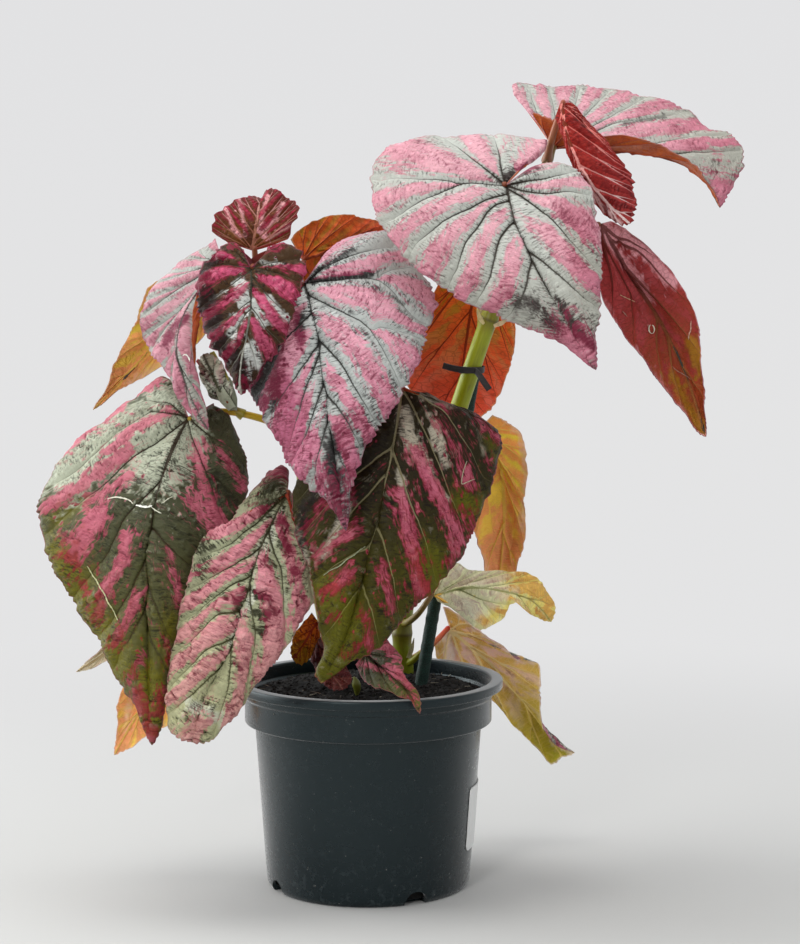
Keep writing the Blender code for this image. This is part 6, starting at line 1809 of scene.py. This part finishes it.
def soilTree():
    group = bpy.data.node_groups.new("strewnSoil", "GeometryNodeTree")
    face = group.interface
    face.new_socket(name="Soil", in_out="INPUT", socket_type="NodeSocketGeometry")
    kinds = {"crumbs": "NodeSocketFloat", "chips": "NodeSocketFloat", "straws": "NodeSocketFloat",
             "seed": "NodeSocketInt", "skin": "NodeSocketMaterial"}
    sockets = {name: face.new_socket(name=name.capitalize(), in_out="INPUT", socket_type=kind)
               for name, kind in kinds.items()}
    face.new_socket(name="Strewn", in_out="OUTPUT", socket_type="NodeSocketGeometry")
    tree = Tree(group)
    given = tree.node("NodeGroupInput")
    ground = given.other("Soil")
    normal = tree.node("GeometryNodeInputNormal")
    upward = tree.node("ShaderNodeSeparateXYZ", {}, {0: normal}).other("Z")
    up = tree.node("FunctionNodeCompare", {"data_type": "FLOAT", "operation": "GREATER_THAN"},
                   {0: upward, 1: 0.55})
    lump = tree.node("GeometryNodeMeshIcoSphere", {}, {"Radius": 1.0, "Subdivisions": 1})
    rough = tree.node("ShaderNodeTexNoise", {}, {"Scale": 1.4, "Detail": 2.0}).other("Color")
    rough = tree.node("ShaderNodeVectorMath", {"operation": "SUBTRACT"}, {0: rough, 1: (0.5, 0.5, 0.5)})
    rough = tree.node("ShaderNodeVectorMath", {"operation": "MULTIPLY"}, {0: rough, 1: (1.4, 1.4, 1.4)})
    lump = tree.node("GeometryNodeSetPosition", {}, {"Geometry": lump, "Offset": rough})
    straw = tree.node("GeometryNodeMeshCone", {}, {"Vertices": 5, "Side Segments": 3, "Radius Top": 0.35,
                                                   "Radius Bottom": 1.0, "Depth": 26.0})
    # they lie on what faces up, each with its own size, spin and paleness
    anyWay = ((0.0, 0.0, 0.0), (6.28, 6.28, 6.28))
    lying = ((1.25, -0.3, 0.0), (1.75, 0.3, 6.28))
    layers = [ground]
    for number, (density, shape, small, large, flat, pale, spin) in enumerate((
            ("Crumbs", lump, 0.00035, 0.0013, (1.0, 1.0, 0.8), (0.0, 0.10), anyWay),
            ("Chips", lump, 0.0008, 0.0019, (1.0, 0.6, 0.35), (0.05, 0.55), anyWay),
            ("Straws", straw, 0.00012, 0.00026, (1.0, 1.0, 1.0), (0.35, 1.0), lying))):
        seed = given.other("Seed") + number * 13
        points = tree.node("GeometryNodeDistributePointsOnFaces", {"distribute_method": "RANDOM"},
                           {"Mesh": ground, "Selection": up, "Density": given.other(density), "Seed": seed})
        turn = tree.node("FunctionNodeRandomValue", {"data_type": "FLOAT_VECTOR"},
                         {0: spin[0], 1: spin[1], "Seed": seed + 1})
        size = tree.node("FunctionNodeRandomValue", {"data_type": "FLOAT"},
                         {2: small, 3: large, "Seed": seed + 2}, 1)
        shaped = tree.node("ShaderNodeVectorMath", {"operation": "SCALE"}, {0: flat, "Scale": size})
        made = tree.node("GeometryNodeInstanceOnPoints", {},
                         {"Points": points, "Instance": shape, "Rotation": turn, "Scale": shaped})
        shade = tree.node("FunctionNodeRandomValue", {"data_type": "FLOAT"},
                          {2: pale[0], 3: pale[1], "Seed": seed + 3}, 1)
        made = tree.node("GeometryNodeStoreNamedAttribute", {"data_type": "FLOAT", "domain": "INSTANCE"},
                         {"Geometry": made, "Name": "pale", "Value": shade})
        layers.append(made)
    joined = group.nodes.new("GeometryNodeJoinGeometry")
    for layer in layers:
        group.links.new(layer.socket, joined.inputs[0])
    joined = tree.node("GeometryNodeRealizeInstances", {}, {"Geometry": Wire(tree, joined.outputs[0])})
    joined = tree.node("GeometryNodeSetMaterial", {}, {"Geometry": joined, "Material": given.other("Skin")})
    tree.node("NodeGroupOutput", {}, {"Strewn": joined})
    return group, {name: socket.identifier for name, socket in sockets.items()}


def soilMaterial():
    made, tree, shader = newMaterial("soilMix")
    place = tree.onObject()
    clod = tree.noise(place, 260.0, 4.0, 0.7)
    fine = tree.noise(place, 1300.0, 2.0, 0.6)
    pale = tree.field("pale", "Fac")
    colour = tree.blend(tree.step(clod, 0.35, 0.70), (0.0016, 0.0015, 0.0014), (0.0070, 0.0060, 0.0050))
    colour = tree.blend(tree.step(pale, 0.03, 0.30) * 0.5, colour, (0.022, 0.018, 0.013))
    colour = tree.blend(tree.step(pale, 0.45, 0.95), colour, (0.34, 0.31, 0.24))
    finishShader(tree, shader, colour, 0.75 + fine * 0.2, tree.bump(clod + fine * 0.5, 0.7, 0.0008),
                 {"Specular IOR Level": 0.25})
    return made


soilPiece = newObject("soil_top", soilMesh())
soilGroup, soilNames = soilTree()
strewn = soilPiece.modifiers.new("Strewn", "NODES")
strewn.node_group = soilGroup
for name in ("crumbs", "chips", "straws", "seed"):
    strewn[soilNames[name]] = soil[name]
strewn[soilNames["skin"]] = soilMaterial()
bakeModifiers(soilPiece)
softEdges(soilPiece, 45)
settle(soilPiece, "soil", "soil")
print("soil", len(soilPiece.data.polygons), "faces")

# The green stake with its grain, the strip that ties the cane to it, the bare label and the young shoot
stake = {"ends": [(420, 690, -9), (478, 350, 42)], "radius": 0.0040, "grain": 0.00016}
tie = {"centre": (472, 371, 0), "thick": 0.0010, "wide": 0.0040, "slack": 0.0014,
       "tails": [[(0.001, 0.0, 0.0), (-0.005, -0.0012, 0.0003), (-0.012, -0.0010, 0.0014),
                  (-0.018, 0.0005, 0.0030)],
                 [(0.002, 0.0, 0.0), (0.004, -0.0020, -0.0020), (0.0075, -0.0032, -0.0070),
                  (0.011, -0.0030, -0.0120)]]}
label = {"bottomZ": 0.0255, "topZ": 0.0655, "start": 67, "sweep": 42, "thick": 0.0006, "corner": 0.0025}
bud = {"line": [(357, 694, -42), (357, 689, -43), (356, 683, -44), (354, 677, -45)],
       "radii": [1.0, 2.2, 2.6, 0.6], "depth": 0.0050}


def stakeMaterial():
    made, tree, shader = newMaterial("stakePlastic")
    place = tree.onObject()
    grain = tree.noise(place, 1500.0, 2.0, 0.7)
    band = tree.noise(tree.stretch(place, (60.0, 60.0, 25.0)), 1.0, 3.0, 0.6)
    colour = tree.blend(tree.step(grain, 0.42, 0.66), (0.0010, 0.012, 0.008), (0.008, 0.052, 0.036))
    colour = tree.blend(0.5, colour, tree.grey(0.55 + band * 0.8), "MULTIPLY")
    finishShader(tree, shader, colour, 0.42 + grain * 0.2, tree.bump(grain, 0.8, 0.0005),
                 {"IOR": 1.5, "Specular IOR Level": 0.25})
    return made


low, high = (seen(*place) for place in stake["ends"])
along = unit(high - low)
stakeFoot = low - along * stem["depth"]
stakeLength = np.linalg.norm(high - stakeFoot)
at = np.linspace(0, stakeLength, 260)
stakeLine = stakeFoot + np.outer(at, along)
stakeThick = stake["radius"] + stake["grain"] * np.sin(at / 0.00115) * np.sin(at / 0.0071 + 1)
stakeLine = np.vstack([stakeLine, high + along * 0.0008, high + along * 0.0015])
stakeThick = np.concatenate([stakeThick, stake["radius"] * np.array([0.92, 0.62])])
stakeColours = mixedColours([(0.03, 0.09, 0.07)] * 2, len(stakeLine))
stakePiece = tubes("stake_rod", [(stakeLine, stakeThick, stakeColours)], stakeMaterial(), 28)
settle(stakePiece, "stake", "stake")


def flatStrip(name, line, closed):
    # a flat band standing on its edge along a level line
    curve = bpy.data.curves.new(name, "CURVE")
    curve.dimensions = "3D"
    curve.bevel_depth = tie["thick"] / 2
    curve.bevel_resolution = 3
    curve.extrude = tie["wide"] / 2 - tie["thick"] / 2
    curve.use_fill_caps = True
    curve.twist_mode = "Z_UP"
    spline = curve.splines.new("POLY")
    spline.points.add(len(line) - 1)
    spline.use_cyclic_u = closed
    for node, place in zip(spline.points, line):
        node.co = (*place, 1.0)
    return curve


def tiePiece():
    height = seen(*tie["centre"])[2]
    line, thick = caneLine(canes["cane_right"])
    middle = np.array([np.interp(height, line[:, 2], line[:, axis]) for axis in range(3)])
    post = low + (high - low) * (height - low[2]) / (high[2] - low[2])
    # the loop goes half round the cane and then half round the stake
    heading = math.atan2(post[1] - middle[1], post[0] - middle[0])
    loose = tie["thick"] / 2 + tie["slack"]
    caneReach = float(np.interp(height, line[:, 2], thick)) + loose
    stakeReach = stake["radius"] + loose
    ring = []
    for centre, reach, start in ((middle, caneReach, heading + math.pi / 2),
                                 (post, stakeReach, heading - math.pi / 2)):
        for k in range(25):
            angle = start + math.pi * k / 24
            ring.append((centre[0] + reach * math.cos(angle), centre[1] + reach * math.sin(angle), height))
    front = np.array([middle[0], middle[1] - caneReach, height])
    tails = [smooth([front + away for away in tail], np.linspace(0, 1, 16)) for tail in tie["tails"]]
    meshes = []
    for k, points in enumerate([ring] + tails):
        guide = newObject(f"band_{k}", flatStrip(f"band_{k}", points, k == 0))
        graph = bpy.context.evaluated_depsgraph_get()
        meshes.append(bpy.data.meshes.new_from_object(guide.evaluated_get(graph)))
        bpy.data.objects.remove(guide, do_unlink=True)
    work = bmesh.new()
    for mesh in meshes:
        work.from_mesh(mesh)
    joined = bpy.data.meshes.new("tie_band")
    work.to_mesh(joined)
    work.free()
    faceOut(joined, weld)
    return newObject("tie_band", joined)


def rubberMaterial():
    made, tree, shader = newMaterial("tieRubber")
    place = tree.onObject()
    grain = tree.noise(place, 900.0, 3.0, 0.6)
    smear = tree.noise(tree.stretch(place, (200.0, 200.0, 900.0)), 1.0, 2.0, 0.5)
    colour = tree.blend(tree.step(smear, 0.4, 0.75), (0.006, 0.006, 0.0065), (0.022, 0.021, 0.020))
    finishShader(tree, shader, colour, 0.42 + grain * 0.25, tree.bump(grain, 0.4, 0.0003), {})
    return made


band = tiePiece()
band.data.materials.clear()
band.data.materials.append(rubberMaterial())
softEdges(band, 50)
settle(band, "tie", "tie")


def labelMesh():
    # a sheet round the pot with rounded corners
    rows = 30
    columns = 60
    off = 0.0003
    points = []
    for j in range(rows + 1):
        for i in range(columns + 1):
            u = i / columns
            v = j / rows
            z = label["bottomZ"] + (label["topZ"] - label["bottomZ"]) * v
            wide = math.radians(label["sweep"]) * bodyRadius(z)
            inset = 0.0
            high = min(v, 1 - v) * (label["topZ"] - label["bottomZ"])
            if high < label["corner"]:
                inset = label["corner"] - math.sqrt(label["corner"] ** 2 - (label["corner"] - high) ** 2)
            angle = math.radians(label["start"] - 90) + (inset + (wide - 2 * inset) * u) / bodyRadius(z)
            for lift in (0.0, label["thick"]):
                r = bodyRadius(z) + off + lift
                points.append((r * math.cos(angle), r * math.sin(angle), z))
    def at(j, i, lift):
        return (j * (columns + 1) + i) * 2 + lift
    faces = []
    for j in range(rows):
        for i in range(columns):
            faces.append((at(j, i, 1), at(j, i + 1, 1), at(j + 1, i + 1, 1), at(j + 1, i, 1)))
            faces.append((at(j, i, 0), at(j + 1, i, 0), at(j + 1, i + 1, 0), at(j, i + 1, 0)))
    for i in range(columns):
        faces.append((at(0, i, 0), at(0, i + 1, 0), at(0, i + 1, 1), at(0, i, 1)))
        faces.append((at(rows, i, 1), at(rows, i + 1, 1), at(rows, i + 1, 0), at(rows, i, 0)))
    for j in range(rows):
        faces.append((at(j, 0, 1), at(j + 1, 0, 1), at(j + 1, 0, 0), at(j, 0, 0)))
        faces.append((at(j, columns, 0), at(j + 1, columns, 0), at(j + 1, columns, 1), at(j, columns, 1)))
    mesh = bpy.data.meshes.new("label_sheet")
    mesh.from_pydata(points, [], faces)
    return mesh


def labelMaterial():
    made, tree, shader = newMaterial("labelPaper")
    place = tree.onObject()
    fibre = tree.noise(place, 1800.0, 2.0, 0.6)
    wave = tree.noise(place, 60.0, 2.0, 0.5)
    colour = tree.blend(tree.step(wave, 0.35, 0.75) * 0.5, (0.80, 0.80, 0.79), (0.72, 0.72, 0.70))
    finishShader(tree, shader, colour, 0.50 + fibre * 0.12, tree.bump(fibre * 0.3 + wave, 0.2, 0.0003), {})
    return made


labelPiece = newObject("label_sheet", labelMesh())
labelPiece.data.materials.append(labelMaterial())
softEdges(labelPiece, 50)
settle(labelPiece, "label", "label")

budLine = [seen(*place) for place in bud["line"]]
budLine = [budLine[0] - (0, 0, bud["depth"])] + budLine
budAt = np.linspace(0, 1, 40)
budSteps = [(r / 1000, k * 0.004, 0) for k, r in enumerate([bud["radii"][0]] + bud["radii"])]
budRadii = smooth(budSteps, budAt)[:, 0]
budPath = smooth(budLine, budAt)
budColours = mixedColours([(0.10, 0.11, 0.012), (0.12, 0.14, 0.014)], len(budAt))
budPaths = [(budPath, np.maximum(budRadii, 0.0003), budColours)]
settle(tubes("bud_shoot", budPaths, stemSkin, 16), "bud", "bud")
print("stake, tie, label and bud")

# A plain pale floor that fades into the backdrop, soft lights and the camera
studio = {"floorColour": (0.46, 0.46, 0.45), "fadeMiddle": (0.0, -0.35, 0.0), "fadeFrom": 0.26,
          "fadeTo": 1.35, "radius": 6.0,
          "backdrop": [(0.775, 0.775, 0.78), (0.76, 0.76, 0.77)], "fill": (0.80, 0.82, 0.84),
          "fillStrength": [0.30, 0.95], "horizon": (-0.12, 0.18), "fillTurn": (-0.7, 0.6),
          "aim": (0.0, 0.0, 0.25),
          "lights": {"keyLight": [(-0.45, -0.10, 1.85), (1.0, 1.0), 20.0, (1.0, 0.99, 0.97)],
                     "leftPanel": [(-1.25, 0.35, 0.50), (1.3, 1.3), 21.0, (0.97, 0.99, 1.0)],
                     "topLight": [(0.65, -0.20, 1.9), (1.1, 1.1), 7.5, (1.0, 1.0, 1.0)],
                     "frontLight": [(-0.55, -1.42, 0.72), (0.30, 0.30), 8.5, (1.0, 0.99, 0.98)],
                     "rightLight": [(1.1, -1.3, 1.2), (1.0, 1.0), 5.0, (0.99, 0.99, 1.0)]}}


def floorMesh():
    rings = [0.0, 0.3, 0.6, 1.0, 1.6, 2.6, 4.0, studio["radius"]]
    points = [(0.0, 0.0, 0.0)]
    sides = 96
    for radius in rings[1:]:
        for k in range(sides):
            angle = 2 * math.pi * k / sides
            points.append((radius * math.cos(angle), radius * math.sin(angle), 0.0))
    mesh = bpy.data.meshes.new("studioFloor")
    mesh.from_pydata(points, [], roundFaces(len(rings) - 1, sides))
    return mesh


def floorMaterial():
    made, tree, shader = newMaterial("studioFloor")
    place = tree.onObject()
    offset = tree.node("ShaderNodeVectorMath", {"operation": "SUBTRACT"}, {0: place, 1: studio["fadeMiddle"]})
    away = tree.node("ShaderNodeVectorMath", {"operation": "LENGTH"}, {0: offset}, 1)
    soft = tree.noise(place, 3.0, 2.0, 0.5)
    colour = tree.blend(soft * 0.25, studio["floorColour"], (0.43, 0.43, 0.42))
    finishShader(tree, shader, colour, 0.75, None, {"Specular IOR Level": 0.2})
    # the floor turns into the backdrop with distance
    far = tree.node("ShaderNodeEmission", {}, {"Color": (*studio["backdrop"][0], 1.0), "Strength": 1.0})
    shown = tree.node("ShaderNodeMixShader", {}, {0: tree.step(away, studio["fadeFrom"], studio["fadeTo"]),
                                                  1: Wire(tree, shader.outputs[0]), 2: far})
    tree.group.links.new(shown.socket, tree.group.nodes["Material Output"].inputs["Surface"])
    return made


floor = newObject("studioFloor", floorMesh())
floor.data.materials.append(floorMaterial())

world = bpy.data.worlds.new("studio")
bpy.context.scene.world = world
world.use_nodes = True
sky = Tree(world.node_tree)
# the camera sees the backdrop, and what lights the plant is stronger behind it
ahead, height = sky.split(sky.node("ShaderNodeTexCoord").other("Generated"))[1:]
shownSky = sky.blend(sky.step(height, *studio["horizon"]), *studio["backdrop"])
ray = sky.node("ShaderNodeLightPath")
behind = sky.step(ahead, *studio["fillTurn"])
fill = studio["fillStrength"][0] + behind * (studio["fillStrength"][1] - studio["fillStrength"][0])
skyColour = sky.blend(ray, sky.blend(1.0, studio["fill"], sky.grey(fill), "MULTIPLY"), shownSky)
background = world.node_tree.nodes["Background"]
world.node_tree.links.new(skyColour.socket, background.inputs["Color"])

for lightName, (place, size, power, colour) in studio["lights"].items():
    lamp = bpy.data.lights.new(lightName, "AREA")
    lamp.shape = "RECTANGLE"
    lamp.size = size[0]
    lamp.size_y = size[1]
    lamp.energy = power
    lamp.color = colour
    lampObject = newObject(lightName, lamp)
    lampObject.location = place
    aim = Vector(studio["aim"]) - Vector(place)
    lampObject.rotation_euler = aim.to_track_quat("-Z", "Y").to_euler()

lens = bpy.data.cameras.new("photoCamera")
lens.sensor_fit = "VERTICAL"
lens.sensor_height = camera["sensor"]
lens.sensor_width = camera["sensor"]
lens.lens = camera["lens"]
lens.clip_start = 0.01
eye = newObject("photoCamera", lens)
eye.location = camera["place"]
eye.rotation_euler = (math.radians(90 - camera["pitch"]), 0.0, 0.0)
bpy.context.scene.camera = eye
bpy.context.scene.view_settings.view_transform = "Standard"
print("studio")
